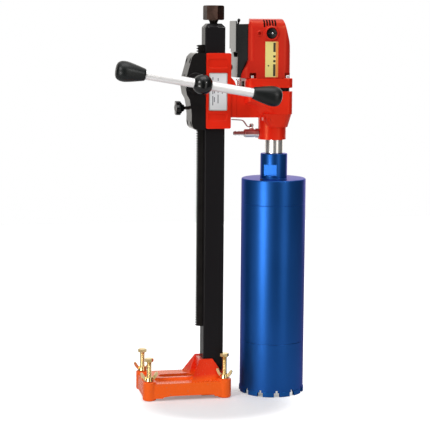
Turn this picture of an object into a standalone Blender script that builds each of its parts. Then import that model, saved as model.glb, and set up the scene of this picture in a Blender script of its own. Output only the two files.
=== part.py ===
"""Core drill rig: base with levelling screws, toothed column, carriage with feed
handle, geared motor and a water-flushed core bit.  Every size is in millimetres and is
scaled to metres by MM where a mesh or a place is made.  X runs from the column to the
drill, Z runs up, and the origin is the column's axis on the floor."""

import math

import bmesh
import bpy

MM = 0.001
GAP = 0.3                     # clearance between pieces that touch

# --- driving dimensions -------------------------------------------------------------
COLUMN_SIDE = 50.0
COLUMN_WALL = 4.0
COLUMN_TOP = 910.0
DECK_TOP = 42.0               # top of the base plate; the column stands on it
LOBE_TOP = 47.3
BASE_LEFT, BASE_RIGHT = -181.5, 40.0
BASE_FRONT, BASE_BACK = -66.0, 76.0
LOBE_RADIUS = 17.0
SCREW_X = (-165.5, 23.0)
SCREW_Y = (-50.0, 60.0)
SCREW_RADIUS = 6.0

MODULE = 2.0                  # feed rack and feed pinion
RACK_PITCH_X = -40.0
RACK_BOTTOM = 170.5
RACK_TEETH = 111
RACK_WIDTH = 12.0
FEED_TEETH = 12
FEED_X = RACK_PITCH_X - MODULE * FEED_TEETH / 2
FEED_Z = 776.0

HUB_Y = -130.0                # centre of the handle hub
HUB_RADIUS = 24.5
HUB_BACK = -108.5             # where the shaft's collar starts, behind the hub's flat
BAR_RADIUS = 10.9
BAR_TILT = math.radians(9.4)
BAR_LEFT, BAR_RIGHT = 190.0, 176.0
GRIP_LEFT_INNER, GRIP_RIGHT_INNER = 138.0, 123.0
GRIP_LENGTH = 71.0

CARRIAGE_BOTTOM, CARRIAGE_TOP = 665.0, 848.0
CARRIAGE_LEFT, CARRIAGE_RIGHT = -24.5, 37.0
CARRIAGE_HALF_DEPTH = 38.0
LINER = 2.4                   # thickness of the guide liners
LOCK_Z = 714.0                # axis of the lock knob
HOUSING_SCREWS = [(-56.0, y, z) for y in (-23.0, 23.0) for z in (829.0, 676.0)]

DRILL_X = 155.3               # spindle axis
MOTOR_X = 138.05              # armature axis
LAY_X, LAY_Y = 123.79, 17.41  # intermediate shaft axis
GEAR_MODULE = 1.5
TEETH_ARMATURE, TEETH_LAY = 8, 22
TEETH_LAY_PINION, TEETH_SPINDLE = 12, 36
GEARBOX_LEFT, GEARBOX_RIGHT, GEARBOX_HALF_DEPTH = 74.0, 190.5, 50.0
NOSE_BOTTOM = 636.0
FLANGE_TOP = 787.6
ARM_BOLT_X, ARM_BOLT_Y = 58.8, -24.0

# The motor cover is the part common to its front view, its side view and its plan.
MOTOR_OUTLINE = [(61, 788), (61, 794), (66, 806), (73, 818), (78.5, 831), (78.5, 920),
                 (83, 931.6), (164, 931.6), (168.4, 916.6), (172.4, 903), (175.8, 891),
                 (179.6, 878), (182, 866), (183.6, 850), (184.6, 826), (184.8, 806), (184.8, 788)]
MOTOR_SIDE = [(-50, 780), (-50, 905), (-49, 914), (-46, 921.5), (-41, 927), (-34, 930.5),
              (-24, 931.6), (-8, 931.2), (10, 928.8), (26, 924.2), (38, 917.5), (46, 909),
              (50, 897), (50, 780)]
MOTOR_SCREWS = [(x, y) for x in (88.0, 176.0) for y in (-40.0, 40.0)]
BRUSH_X, BRUSH_Z = 133.5, 896.0
VENT_COUNT, VENT_LEFT, VENT_STEP, VENT_WIDTH = 5, 113.7, 6.9, 4.2
SWITCH_FRONT, SWITCH_TOP = 36.0, 918.0
SWITCH_COVER_TOP = 926.0
TOGGLE_X = 60.5
GLAND_X, GLAND_Z = 57.0, 812.0

SPINDLE_COLLAR = 22.5
BIT_RADIUS = 80.0
BIT_TOP = 539.0
BIT_WALL = 4.0
CROWN_TOP = 132.0
SEGMENTS = 12
SEGMENT_HEIGHT = 10.0
VALVE_X, VALVE_Z = 97.5, 651.0

# --- materials ----------------------------------------------------------------------
FINISHES = {
    "orange_red_paint": ((0.84, 0.10, 0.02), 0.30, 0.0),
    "red_paint": ((0.75, 0.03, 0.02), 0.32, 0.0),
    "red_plastic": ((0.70, 0.04, 0.02), 0.38, 0.0),
    "black_paint": ((0.015, 0.014, 0.015), 0.28, 0.0),
    "black_plastic": ((0.012, 0.013, 0.013), 0.35, 0.0),
    "dark_steel": ((0.04, 0.03, 0.025), 0.40, 1.0),
    "bright_steel": ((0.62, 0.62, 0.62), 0.28, 1.0),
    "chrome": ((0.80, 0.80, 0.80), 0.10, 1.0),
    "yellow_zinc": ((0.72, 0.55, 0.25), 0.30, 1.0),
    "blue_paint": ((0.01, 0.09, 0.40), 0.22, 0.3),
    "brass": ((0.70, 0.50, 0.18), 0.30, 1.0),
    "white_plate": ((0.86, 0.86, 0.86), 0.45, 0.0),
    "yellow_plate": ((0.90, 0.78, 0.25), 0.45, 0.0),
    "nylon": ((0.80, 0.79, 0.74), 0.45, 0.0),
    "copper": ((0.60, 0.25, 0.12), 0.40, 1.0),
}


def finish(name):
    """The Principled material of one finish, made once."""
    found = bpy.data.materials.get(name)
    if found:
        return found
    colour, roughness, metallic = FINISHES[name]
    made = bpy.data.materials.new(name)
    made.use_nodes = True
    shader = made.node_tree.nodes["Principled BSDF"]
    shader.inputs["Base Color"].default_value = (*colour, 1.0)
    shader.inputs["Roughness"].default_value = roughness
    shader.inputs["Metallic"].default_value = metallic
    return made


# --- shape builders -----------------------------------------------------------------
def place(bm, name, finish_name=None, at=(0, 0, 0), turn=(0, 0, 0), parent=None):
    """Turn a bmesh drawn in millimetres into a named object; no finish means a tool."""
    bmesh.ops.recalc_face_normals(bm, faces=bm.faces)
    bmesh.ops.scale(bm, vec=(MM, MM, MM), verts=bm.verts)
    mesh = bpy.data.meshes.new(name)
    bm.to_mesh(mesh)
    bm.free()
    mesh.shade_smooth()
    mesh.set_sharp_from_angle(angle=math.radians(32))
    made = bpy.data.objects.new(name, mesh)
    bpy.context.collection.objects.link(made)
    made.location = [value * MM for value in at]
    made.rotation_euler = turn
    made.parent = parent
    if finish_name:
        mesh.materials.append(finish(finish_name))
    else:
        made.hide_render = True
        made.display_type = "WIRE"
    return made


def lift(axis, across, up, along):
    """A point of an outline (across, up) at a height along one world axis."""
    if axis == "Z":
        return (across, up, along)
    if axis == "Y":
        return (across, along, up)
    return (along, across, up)


def prism(outline, low, high, axis="Z"):
    """Closed outline extruded along an axis: Z takes (x, y), Y (x, z), X (y, z)."""
    bm = bmesh.new()
    bottom = [bm.verts.new(lift(axis, a, b, low)) for a, b in outline]
    top = [bm.verts.new(lift(axis, a, b, high)) for a, b in outline]
    bm.faces.new(bottom)
    bm.faces.new(top)
    for i in range(len(outline)):
        j = (i + 1) % len(outline)
        bm.faces.new((bottom[i], bottom[j], top[j], top[i]))
    return bm


def loft(low_outline, high_outline, low, high, axis="Z"):
    """Like prism, but between two outlines with the same number of points."""
    bm = prism(low_outline, low, high, axis)
    bm.verts.ensure_lookup_table()
    count = len(low_outline)
    for i, (a, b) in enumerate(high_outline):
        bm.verts[count + i].co = lift(axis, a, b, high)
    return bm


def block(x, y, z):
    """Box between the two values given for each axis."""
    return prism([(x[0], y[0]), (x[1], y[0]), (x[1], y[1]), (x[0], y[1])], z[0], z[1])


def turned(profile, segments=16, axis="Z"):
    """Solid of revolution of (radius, height) points; a profile off the axis closes."""
    bm = bmesh.new()
    rings = []
    for radius, height in profile:
        if radius == 0:
            rings.append([bm.verts.new(lift(axis, 0, 0, height))])
            continue
        ring = []
        for i in range(segments):
            angle = 2 * math.pi * i / segments
            across, up = radius * math.cos(angle), radius * math.sin(angle)
            ring.append(bm.verts.new(lift(axis, across, up, height)))
        rings.append(ring)
    pairs = list(zip(rings, rings[1:]))
    if profile[0][0] and profile[-1][0]:
        pairs.append((rings[-1], rings[0]))
    for one, two in pairs:
        if len(one) == len(two) == 1:
            continue                  # two poles: the profile runs along the axis here
        for i in range(segments):
            j = (i + 1) % segments
            corners = [one[i % len(one)], one[j % len(one)]]
            corners += [two[j % len(two)], two[i % len(two)]]
            corners = list(dict.fromkeys(corners))
            bm.faces.new(corners)
    return bm


def rounded(left, right, front, back, radius, steps=3):
    """Rectangle in two axes with round corners, anticlockwise."""
    points = []
    centres = [(right - radius, back - radius, 0), (left + radius, back - radius, 90)]
    centres += [(left + radius, front + radius, 180), (right - radius, front + radius, 270)]
    for a, b, start in centres:
        for i in range(steps + 1):
            angle = math.radians(start + 90 * i / steps)
            points.append((a + radius * math.cos(angle), b + radius * math.sin(angle)))
    return points


def circle(a, b, radius, steps=16, phase=0.0):
    """Regular polygon as an outline; phase is in degrees."""
    angles = [math.radians(phase) + 2 * math.pi * i / steps for i in range(steps)]
    return [(a + radius * math.cos(t), b + radius * math.sin(t)) for t in angles]


def gear_outline(module, teeth, phase=0.0, slack=0.30, undercut=1.0):
    """Involute spur gear; phase turns the middle of tooth 0, slack thins each tooth and
    undercut narrows its root, as hobbing does on a small pinion."""
    pitch = module * teeth / 2
    base = pitch * math.cos(math.radians(20))
    root, tip = pitch - 1.2 * module, pitch + 0.8 * module

    def involute(radius):
        if radius <= base:
            return 0.0
        pressure = math.acos(base / radius)
        return math.tan(pressure) - pressure

    half_tooth = (math.pi * module / 2 - slack) / (2 * pitch)
    radii = [root, pitch, tip]
    flank = [(r, half_tooth + involute(pitch) - involute(r)) for r in radii]
    flank[0] = (root, flank[0][1] * undercut)
    points = []
    for tooth in range(teeth):
        middle = phase + 2 * math.pi * tooth / teeth
        for radius, half in flank:
            points.append((radius, middle - half))
        for radius, half in reversed(flank):
            points.append((radius, middle + half))
    return [(r * math.cos(t), r * math.sin(t)) for r, t in points]


def shape_with(target, tool, operation="DIFFERENCE"):
    """Cut the target with a tool, or join the tool to it, by a Boolean modifier."""
    step = target.modifiers.new(operation.lower(), "BOOLEAN")
    step.operation = operation
    step.object = tool
    step.solver = "EXACT"


def cut(target, bm, at=(0, 0, 0), turn=(0, 0, 0)):
    shape_with(target, place(bm, target.name + "_cut", None, at, turn))


def fuse(target, bm, at=(0, 0, 0), turn=(0, 0, 0)):
    shape_with(target, place(bm, target.name + "_add", None, at, turn), "UNION")


def pivot(name, at, parent=None, turn=(0, 0, 0)):
    """Empty on a joint's axis; its children are drawn relative to it."""
    made = bpy.data.objects.new(name, None)
    bpy.context.collection.objects.link(made)
    made.location = [value * MM for value in at]
    made.rotation_euler = turn
    made.parent = parent
    return made


# --- stand: base, column, rack ------------------------------------------------------
def base_casting():
    """Plate on a skirt with a lobe at each corner, an anchor slot, and a column socket."""
    skirt_bottom, wall, plate, taper = 6.0, 8.0, 9.0, 2.0
    left, right = BASE_LEFT + taper, BASE_RIGHT - taper
    front, back = BASE_FRONT + taper, BASE_BACK - taper
    base = place(prism(rounded(left, right, front, back, 14), skirt_bottom, DECK_TOP),
                 "base_casting", "orange_red_paint")
    inner = rounded(left + wall, right - wall, front + wall, back - wall, 8)
    cut(base, prism(inner, skirt_bottom - 1, DECK_TOP - plate))
    lobe = LOBE_RADIUS
    for x in (BASE_LEFT + lobe, BASE_RIGHT - lobe):
        for y in (BASE_FRONT + lobe, BASE_BACK - lobe):
            post = [(0, 0), (lobe - 3, 0), (lobe, 3), (lobe, LOBE_TOP), (0, LOBE_TOP)]
            fuse(base, turned(post, 24), (x, y, 0))
    fuse(base, block((-30, 30), (-30, 30), (0, DECK_TOP - 1)))
    fuse(base, prism(rounded(-146, -38, -24, 24, 10), DECK_TOP - 1, LOBE_TOP))
    cut(base, prism(rounded(-134, -50, -13, 13, 12.9), 20, 60))
    for x in SCREW_X:
        for y in SCREW_Y:
            cut(base, prism(circle(x, y, SCREW_RADIUS + 0.6), -5, 60))
    column_socket(base)


def column_socket(base):
    """Cheeks that flare from the column to the plate's edges, and a wall behind it."""
    top, root = 92.0, DECK_TOP - 2
    near = COLUMN_SIDE / 2 + GAP
    for side, reach in ((-1, 59), (1, 70)):
        foot = [(-63, reach), (-10, 36), (33, 33), (33, near), (-45, near)]
        head = [(-36, 31), (-20, 31), (-3, 31), (-3, near), (-36, near)]
        foot = [(x, side * y) for x, y in foot]
        head = [(x, side * y) for x, y in head]
        fuse(base, loft(foot, head, root, top))
    fuse(base, block((-36, -near), (-near - 3, near + 3), (root, top - 2)))


def column():
    """Square tube with its cap; the jack screw's nut is the cap's thick middle."""
    half = COLUMN_SIDE / 2
    inner = half - COLUMN_WALL
    tube = place(prism(rounded(-half, half, -half, half, 3.5), DECK_TOP + GAP, COLUMN_TOP),
                 "column_tube", "black_paint")
    cut(tube, prism(rounded(-inner, inner, -inner, inner, 1), 0, COLUMN_TOP + 10))
    chamfer, thick = 8.0, 9.0
    square = rounded(-half, half, -half, half, 3.5)
    small = rounded(-half + chamfer, half - chamfer, -half + chamfer, half - chamfer, 2)
    cap = place(loft(square, small, COLUMN_TOP + GAP, COLUMN_TOP + thick), "column_cap",
                "black_paint")
    plug = inner - GAP
    fuse(cap, prism(rounded(-plug, plug, -plug, plug, 1), COLUMN_TOP - 28, COLUMN_TOP + 2))
    cut(cap, prism(circle(0, 0, 10 + GAP + 0.2, 20), 800, 1000))


def rack():
    """Toothed bar on the column's left face."""
    pitch = math.pi * MODULE
    tip, root = RACK_PITCH_X - 0.85 * MODULE, RACK_PITCH_X + 1.2 * MODULE
    back = -COLUMN_SIDE / 2 - GAP
    outline = [(back, RACK_BOTTOM)]
    for tooth in range(RACK_TEETH):
        start = RACK_BOTTOM + tooth * pitch
        for x, part in ((root, 0.14), (tip, 0.345), (tip, 0.655), (root, 0.86)):
            outline.append((x, start + part * pitch))
    outline.append((back, RACK_BOTTOM + RACK_TEETH * pitch))
    place(prism(outline, -RACK_WIDTH / 2, RACK_WIDTH / 2, "Y"), "toothed_rack", "dark_steel")


def jack_screw():
    """Screw at the column's head, run up against a ceiling to brace the stand."""
    carrier = pivot("jack_screw_axis", (0, 0, COLUMN_TOP))
    head = place(prism(circle(0, 0, 26, 6, 40), 17.5, 52.5), "jack_screw", "dark_steel",
                 parent=carrier)
    neck = [(0, -110), (9, -110), (10, -108), (10, 11), (9.5, 12), (12, 18), (0, 18)]
    fuse(head, turned(neck, 20), (0, 0, COLUMN_TOP))


def levelling_screws():
    """Hexagon screws through the corner lobes, each locked by a wing nut."""
    heights = {(0, 0): 105.0, (0, 1): 103.0, (1, 0): 110.5, (1, 1): 96.0}
    turns = {(0, 0): 4, (0, 1): 4, (1, 0): -40, (1, 1): 28}
    number = 0
    for i, x in enumerate(SCREW_X):
        for j, y in enumerate(SCREW_Y):
            number += 1
            top = heights[i, j]
            carrier = pivot("levelling_screw_axis", (x, y, LOBE_TOP))
            screw = place(prism(circle(0, 0, 11, 6), top - LOBE_TOP - 8, top - LOBE_TOP),
                          "levelling_screw_%d" % number, "yellow_zinc", parent=carrier)
            shank = [(0, 1.5), (4, 1.5), (SCREW_RADIUS, 3.5), (SCREW_RADIUS, top - 7.5),
                     (0, top - 7.5)]
            fuse(screw, turned(shank, 16), (x, y, 0))
            wing_nut(number, carrier, math.radians(turns[i, j]), (x, y))


def wing_nut(number, carrier, turn, at):
    """Round hub with two raised wings, sitting on the lobe."""
    bore = SCREW_RADIUS + 0.5
    hub = place(turned([(bore, 0.4), (11, 0.4), (9, 11), (bore, 11)], 16),
                "wing_nut_%d" % number, "yellow_zinc", parent=carrier)
    for side in (-1, 1):
        wing = [(8, 2), (13, 5), (22, 18), (19, 23), (15, 22), (8, 10)]
        wing = [(side * across, up) for across, up in wing]
        fuse(hub, prism(wing, -2, 2, "Y"), (at[0], at[1], LOBE_TOP), (0, 0, turn))


# --- carriage -----------------------------------------------------------------------
def riding(x=0, y=0, z=0):
    """A place in the rig's frame, as the carriage's children need it."""
    return (x, y, z - FEED_Z)


def carriage_casting(carriage):
    """Housing round three sides of the column, with a flange for the drill's arm."""
    half, right = CARRIAGE_HALF_DEPTH, CARRIAGE_RIGHT
    bottom, top = CARRIAGE_BOTTOM, CARRIAGE_TOP
    front = rounded(CARRIAGE_LEFT, right, bottom, top, 3)
    body = place(prism(front, -half, half, "Y"), "carriage_casting", "red_paint", riding(),
                 parent=carriage)
    inner = COLUMN_SIDE / 2 + LINER + 2 * GAP
    cut(body, block((-60, inner), (-inner, inner), (bottom - 5, top + 5)))
    cut(body, block((-18, 27), (-half - 5, -half + 2), (811, 833)))
    cut(body, block((-19, 29), (-half - 5, -half + 1.6), (707, 802)))
    cut(body, block((-18, 27), (-half - 5, -half + 2), (684, 702)))
    web = [(right - 2, 792), (46, 781), (52, 766), (52, 692), (right - 2, 692)]
    fuse(body, prism(web, -half + 4, half - 4, "Y"))


def guide_liners(carriage):
    """U-shaped nylon liners that slide on the column at each end of the carriage."""
    near = COLUMN_SIDE / 2 + GAP
    far = near + LINER
    outline = [(CARRIAGE_LEFT, -far), (far, -far), (far, far), (CARRIAGE_LEFT, far),
               (CARRIAGE_LEFT, near), (near, near), (near, -near), (CARRIAGE_LEFT, -near)]
    for name, low in (("guide_liner_lower", 668.0), ("guide_liner_upper", 805.0)):
        place(prism(outline, low, low + 40), name, "nylon", riding(), parent=carriage)


def gear_housing(carriage):
    """Black cover over the rack, with the feed pinion's bearings in its two walls."""
    profile = [(-54, 845), (-60, 838), (-66, 815), (-71.5, 795), (-75, 766), (-72, 748),
               (-65, 736), (-61, 715), (-59.5, 697), (-60, 680), (-56, 667), (-46, 662),
               (-25.2, 662), (-25.2, 848), (-50, 848)]
    depth = 35.0
    cover = place(prism(profile, -depth, depth, "Y"), "gear_housing", "black_paint", riding(),
                  parent=carriage)
    cut(cover, block((-46, -20), (-12, 12), (600, 900)))
    cut(cover, turned([(0, -12), (17, -12), (17, 12), (0, 12)], 16, "Y"), (FEED_X, 0, FEED_Z))
    boss = [(0, -48), (21, -48), (25, -44), (25, -30), (0, -30)]
    fuse(cover, turned(boss, 16, "Y"), (FEED_X, 0, FEED_Z))
    rear = [(0, 30), (16, 30), (16, 40), (14, 42), (0, 42)]
    fuse(cover, turned(rear, 14, "Y"), (FEED_X, 0, FEED_Z))
    cut(cover, prism(circle(FEED_X, FEED_Z, 12, 14), -60, 38, "Y"))
    cut(cover, prism(circle(0, 0, 4.5, 12), -90, -40, "X"), (0, 0, LOCK_Z))
    for x, y, z in HOUSING_SCREWS:
        cut(cover, prism(circle(y, z, 4.4, 12), x - 1.5, x + 30, "X"))
        cut(cover, prism(circle(y, z, 6.5, 12), x - 30, x + 6.6, "X"))


def housing_screws(carriage):
    """Socket screws that hold the gear housing to the carriage."""
    for number, (x, y, z) in enumerate(HOUSING_SCREWS, 1):
        profile = [(0, 26), (4, 26), (4, 4), (6, 4), (6, -3), (3, -3), (3, 0), (0, 0)]
        place(turned(profile, 12, "X"), "housing_screw_%d" % number, "dark_steel",
              riding(x + 2.3, y, z), parent=carriage)


def shaft_bushes(carriage):
    """Bronze bushes of the feed shaft."""
    for name, low, high in (("feed_bush_front", -47.5, -12.5), ("feed_bush_rear", 12.5, 37.5)):
        ring = [(8.3, low), (11.7, low), (11.7, high), (8.3, high)]
        place(turned(ring, 14, "Y"), name, "brass", riding(FEED_X, 0, FEED_Z), parent=carriage)


def plates(carriage):
    """Blank instruction plate on the carriage."""
    half = CARRIAGE_HALF_DEPTH
    face = rounded(-17.5, 27.5, 709, 800, 2)
    place(prism(face, -half + 0.1, -half + 1.3, "Y"), "instruction_plate", "white_plate",
          riding(), parent=carriage)


def feed_handle(carriage):
    """Pinion shaft, ball hub, cross bar and two grips, all turning together."""
    axis = pivot("feed_axis", (0, 0, 0), carriage)
    axis.location = [FEED_X * MM, 0, 0]
    above_gap = (FEED_Z - RACK_BOTTOM) % (math.pi * MODULE)
    outline = gear_outline(MODULE, FEED_TEETH, -above_gap * 2 / (MODULE * FEED_TEETH))
    shaft = place(prism(outline, -11, 11, "Y"), "pinion_shaft", "bright_steel", parent=axis)
    at = (FEED_X, 0, FEED_Z)
    spigot = HUB_Y + 14
    profile = [(0, spigot), (7, spigot), (7, HUB_BACK), (14, HUB_BACK), (14, -49), (8, -49),
               (8, 37), (0, 37)]
    fuse(shaft, turned(profile, 14, "Y"), at)
    hub = place(turned(ball_profile(), 16, "Y"), "handle_hub", "black_plastic", (0, HUB_Y, 0),
                parent=axis)
    cut(hub, prism(circle(0, 0, BAR_RADIUS + GAP, 20), -40, 40, "X"),
        (FEED_X, HUB_Y, FEED_Z), (0, BAR_TILT, 0))
    cut(hub, prism(circle(0, 0, 7 + GAP, 16), 13, 30, "Y"), (FEED_X, HUB_Y, FEED_Z))
    tilt = (0, BAR_TILT, 0)
    rod = [(0, -BAR_LEFT), (BAR_RADIUS, -BAR_LEFT), (BAR_RADIUS, BAR_RIGHT), (0, BAR_RIGHT)]
    place(turned(rod, 16, "X"), "handle_bar", "bright_steel", (0, HUB_Y, 0), tilt, axis)
    for name, inner, sense in (("grip_left", -GRIP_LEFT_INNER, -1),
                               ("grip_right", GRIP_RIGHT_INNER, 1)):
        bore = BAR_RADIUS + GAP
        profile = [(bore, 0), (12.8, 0), (14.2, 3), (20.6, 27), (23.4, 39), (24.3, 48),
                   (23.4, 57), (20.4, 64.5), (14, 69.5), (0, GRIP_LENGTH), (0, 58), (bore, 58)]
        points = [(radius, inner + sense * height) for radius, height in profile]
        place(turned(points, 16, "X"), name, "black_plastic", (0, HUB_Y, 0), tilt, axis)


def ball_profile():
    """Ball with a flat face towards the carriage, as (radius, height) points."""
    points = [(0, -HUB_RADIUS)]
    for i in range(1, 10):
        angle = math.radians(-90 + 16.5 * i)
        points.append((HUB_RADIUS * math.cos(angle), HUB_RADIUS * math.sin(angle)))
    flat = points[-1][1]
    return points + [(0, flat)]


def lock_knob(carriage):
    """Star knob that clamps the carriage on the rack."""
    axis = pivot("lock_axis", riding(0, 0, LOCK_Z), carriage)
    lobes = 6
    outline = []
    for i in range(lobes * 6):
        angle = 2 * math.pi * i / (lobes * 6)
        radius = 17.2 + 1.8 * math.cos(lobes * angle)
        outline.append((radius * math.cos(angle), radius * math.sin(angle)))
    knob = place(prism(outline, -94, -82, "X"), "lock_knob", "black_plastic", parent=axis)
    stem = [(0, -84), (15, -84), (13, -79), (8, -73), (4, -72), (4, -47), (0, -47)]
    fuse(knob, turned(stem, 16, "X"), (0, 0, LOCK_Z))


# --- gearbox and motor --------------------------------------------------------------
def gearbox(carriage):
    """Lower casting with arm and nose, black gear plate, and red motor flange."""
    left, right, half = GEARBOX_LEFT, GEARBOX_RIGHT, GEARBOX_HALF_DEPTH
    floor, split, shoulder = 700.0, 755.7, 667.0
    outer = rounded(left, right, -half, half, 14)
    nose = rounded(115.5, 184, -30, 30, 28)
    case = place(prism(outer, floor, split), "gearbox_housing", "red_paint", riding(),
                 parent=carriage)
    inner = [(73, 699), (73, 725), (90, 717), (102, 709.5), (111, 702), (113, 699)]
    outer_edge = [(73, 699), (73, 736), (100, 729.5), (138.7, 715.5), (150, 703), (152, 699)]
    for side in (-1, 1):
        cut(case, loft(inner, outer_edge, side * 33, side * 50.5, "Y"))
    fuse(case, loft(rounded(132, 184.5, -37, 37, 20), rounded(112, right, -half, half, 20),
                    shoulder, floor + 0.5))
    fuse(case, prism(nose, NOSE_BOTTOM, floor + 1))
    arm = [(52.3, 691.5), (122, 691.5), (122, 740), (112, 740), (90, 755), (73.6, 755),
           (73.6, 765.5), (52.3, 765.5)]
    fuse(case, prism(arm, -33, 33, "Y"))
    cut(case, prism(rounded(left + 7, right - 6, -half + 6, half - 6, 10), 732, 800))
    cut(case, prism(rounded(110, right - 6, -31, 31, 10), floor + 2, 740))
    cut(case, prism(circle(DRILL_X, 0, 19), 600, floor + 10))
    cut(case, prism(circle(LAY_X, LAY_Y, 5 + GAP, 12), floor - 12, floor + 10))
    cut(case, prism(circle(0, VALVE_Z, 6.5 + GAP, 12), 100, 145, "X"))
    cut(case, prism(circle(ARM_BOLT_X, ARM_BOLT_Y, 4.4, 12), 740, 800))
    between = rounded(left + 8, right - 7, -half + 5, half - 5, 12)
    plate = place(prism(between, split + GAP, 763.7), "gear_plate", "black_paint", riding(),
                  parent=carriage)
    cut(plate, prism(circle(MOTOR_X, 0, 9, 16), 700, 800))
    cut(plate, prism(circle(LAY_X, LAY_Y, 5 + GAP, 12), 700, 800))
    flange = place(prism(outer, 764, FLANGE_TOP), "motor_flange", "red_paint", riding(),
                   parent=carriage)
    cut(flange, prism(circle(MOTOR_X, 0, 13.2, 20), 700, 800))
    for x, y in MOTOR_SCREWS:
        cut(flange, prism(circle(x, y, 3.4, 12), 770, 800))


def motor_housing(carriage):
    """Moulded motor cover, open below, with vent slots, brush holes and screw pockets."""
    half, wall = GEARBOX_HALF_DEPTH, 10.0
    shell = place(prism(MOTOR_OUTLINE, -half, half, "Y"), "motor_housing", "red_plastic", riding(),
                  parent=carriage)
    plan = place(prism(rounded(61, 185, -half, half, 20), 700, 1000), "motor_plan")
    shape_with(shell, plan, "INTERSECT")
    side_limit = place(prism(MOTOR_SIDE, 40, 220, "X"), "motor_side")
    shape_with(shell, side_limit, "INTERSECT")
    cut(shell, prism([(70, -41), (79.5, -41), (98.5, 52), (70, 52)], 918.5, 950))
    inner = [(84, 780), (84, 904), (161, 904), (169, 886), (175.2, 872), (175.2, 780)]
    cut(shell, prism(inner, -half + wall, half - wall, "Y"))
    cut(shell, prism(circle(MOTOR_X, 0, 13.3, 20), 890, 919))
    for i in range(VENT_COUNT):
        x = VENT_LEFT + VENT_STEP * i
        cut(shell, block((x, x + VENT_WIDTH), (-60, -37), (914.5, 927)))
        cut(shell, block((x, x + VENT_WIDTH), (-40.5, -37), (900, 916)))
        cut(shell, block((x, x + VENT_WIDTH), (36, 60), (902, 917)))
    cut(shell, prism(circle(BRUSH_X, BRUSH_Z, 14.4), -60, 60, "Y"))
    cut(shell, block((117.8, 150.6), (-60, -half + 1.2), (790, 876.5)))
    for x, y in MOTOR_SCREWS:
        side = 1 if y > 0 else -1
        pocket = sorted((y - side * 9, side * 60))
        cut(shell, block((x - 9, x + 9), pocket, (780, 801)))


def motor_fittings(carriage):
    """Brush caps, blank data plate, and the screws of flange and arm."""
    half = GEARBOX_HALF_DEPTH
    for name, side in (("brush_cap_front", -1), ("brush_cap_rear", 1)):
        profile = [(0, 53), (12, 53), (13.9, 51), (13.9, 43), (5, 43), (5, 17), (0, 17)]
        points = [(radius, side * height) for radius, height in profile]
        place(turned(points, 14, "Y"), name, "black_plastic", riding(BRUSH_X, 0, BRUSH_Z),
              parent=carriage)
    face = rounded(118.1, 150.3, 790.5, 876.1, 1.5)
    place(prism(face, -half - 0.1, -half + 0.9, "Y"), "data_plate", "yellow_plate", riding(),
          parent=carriage)
    for number, (x, y) in enumerate(MOTOR_SCREWS, 1):
        profile = [(0, 772), (3, 772), (3, 787.9), (6.5, 787.9), (6.5, 795), (0, 795)]
        place(turned(profile, 12), "motor_screw_%d" % number, "bright_steel", riding(x, y),
              parent=carriage)
    profile = [(0, 744), (4, 744), (4, 765.9), (6.2, 765.9), (6.2, 768), (3.8, 768), (3.8, 782),
               (6.5, 782.4), (6.5, 785.2), (0, 785.2)]
    place(turned(profile, 12), "arm_bolt", "bright_steel", riding(ARM_BOLT_X, ARM_BOLT_Y),
          parent=carriage)


def switch_unit(carriage):
    """Switch box beside the motor, its side cover, cable gland and toggle."""
    front, top = SWITCH_FRONT, SWITCH_TOP
    outline = [(51.9, 789), (60.4, 789), (60.4, 794), (65.3, 806.2), (72.3, 818.2),
               (77.9, 831), (77.9, top), (51.2, top), (51.2, 850), (53.2, 849)]
    box = place(prism(outline, -front, front, "Y"), "switch_box", "black_plastic", riding(),
                parent=carriage)
    cut(box, block((40, 74), (-front + 5, front - 5), (856, top - 5)))
    cut(box, prism(circle(TOGGLE_X, 0, 5, 12), top - 8, top + 10))
    cut(box, prism(circle(GLAND_X, GLAND_Z, 6 + GAP, 12), 30, 50, "Y"))
    side = rounded(-front, front, 851, SWITCH_COVER_TOP, 4)
    cover = place(prism(side, 47.8, 50.9, "X"), "switch_cover", "black_plastic", riding(),
                  parent=carriage)
    cut(cover, block((40, 60), (20, 40), (840, 858)))
    gland = [(4.2, 56), (7, 56), (9, 52), (9, 36.3), (6, 36.3), (6, 31), (0, 31), (0, 34),
             (4.2, 34)]
    place(turned(gland, 12, "Y"), "cable_gland", "black_plastic", riding(GLAND_X, 0, GLAND_Z),
          parent=carriage)
    axis = pivot("toggle_axis", riding(TOGGLE_X, 0, 913), carriage, (0, math.radians(10), 0))
    lever = [(0, -3), (2.2, -3), (2.2, 10), (3.7, 14), (3.4, 17), (0, 19)]
    place(turned(lever, 12), "toggle_lever", "black_plastic", parent=axis)


def motor_inside(carriage):
    """Stator and bearings in the cover, and the armature that turns in them."""
    ring = [(25.5, 812), (36.5, 812), (36.5, 870), (25.5, 870)]
    place(turned(ring), "stator", "copper", riding(MOTOR_X), parent=carriage)
    for name, low in (("armature_bearing_lower", 770), ("armature_bearing_upper", 905)):
        ring = [(6 + GAP, low), (12.9, low), (12.9, low + 11), (6 + GAP, low + 11)]
        place(turned(ring), name, "bright_steel", riding(MOTOR_X), parent=carriage)
    axis = pivot("armature_axis", riding(MOTOR_X, 0, 737), carriage)
    profile = [(0, 12), (6, 12), (6, 56), (32, 58), (32, 66), (6, 68), (6, 77), (24, 77),
               (24, 132), (6, 132), (6, 146), (16.5, 146), (16.5, 164), (6, 164), (6, 180), (0, 180)]
    armature = place(turned(profile), "armature", "dark_steel", parent=axis)
    towards_lay = math.atan2(LAY_Y, LAY_X - MOTOR_X)
    outline = gear_outline(GEAR_MODULE, TEETH_ARMATURE, towards_lay, 0.5, 0.7)
    fuse(armature, prism(outline, 0, 14), (MOTOR_X, 0, 737))


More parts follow.
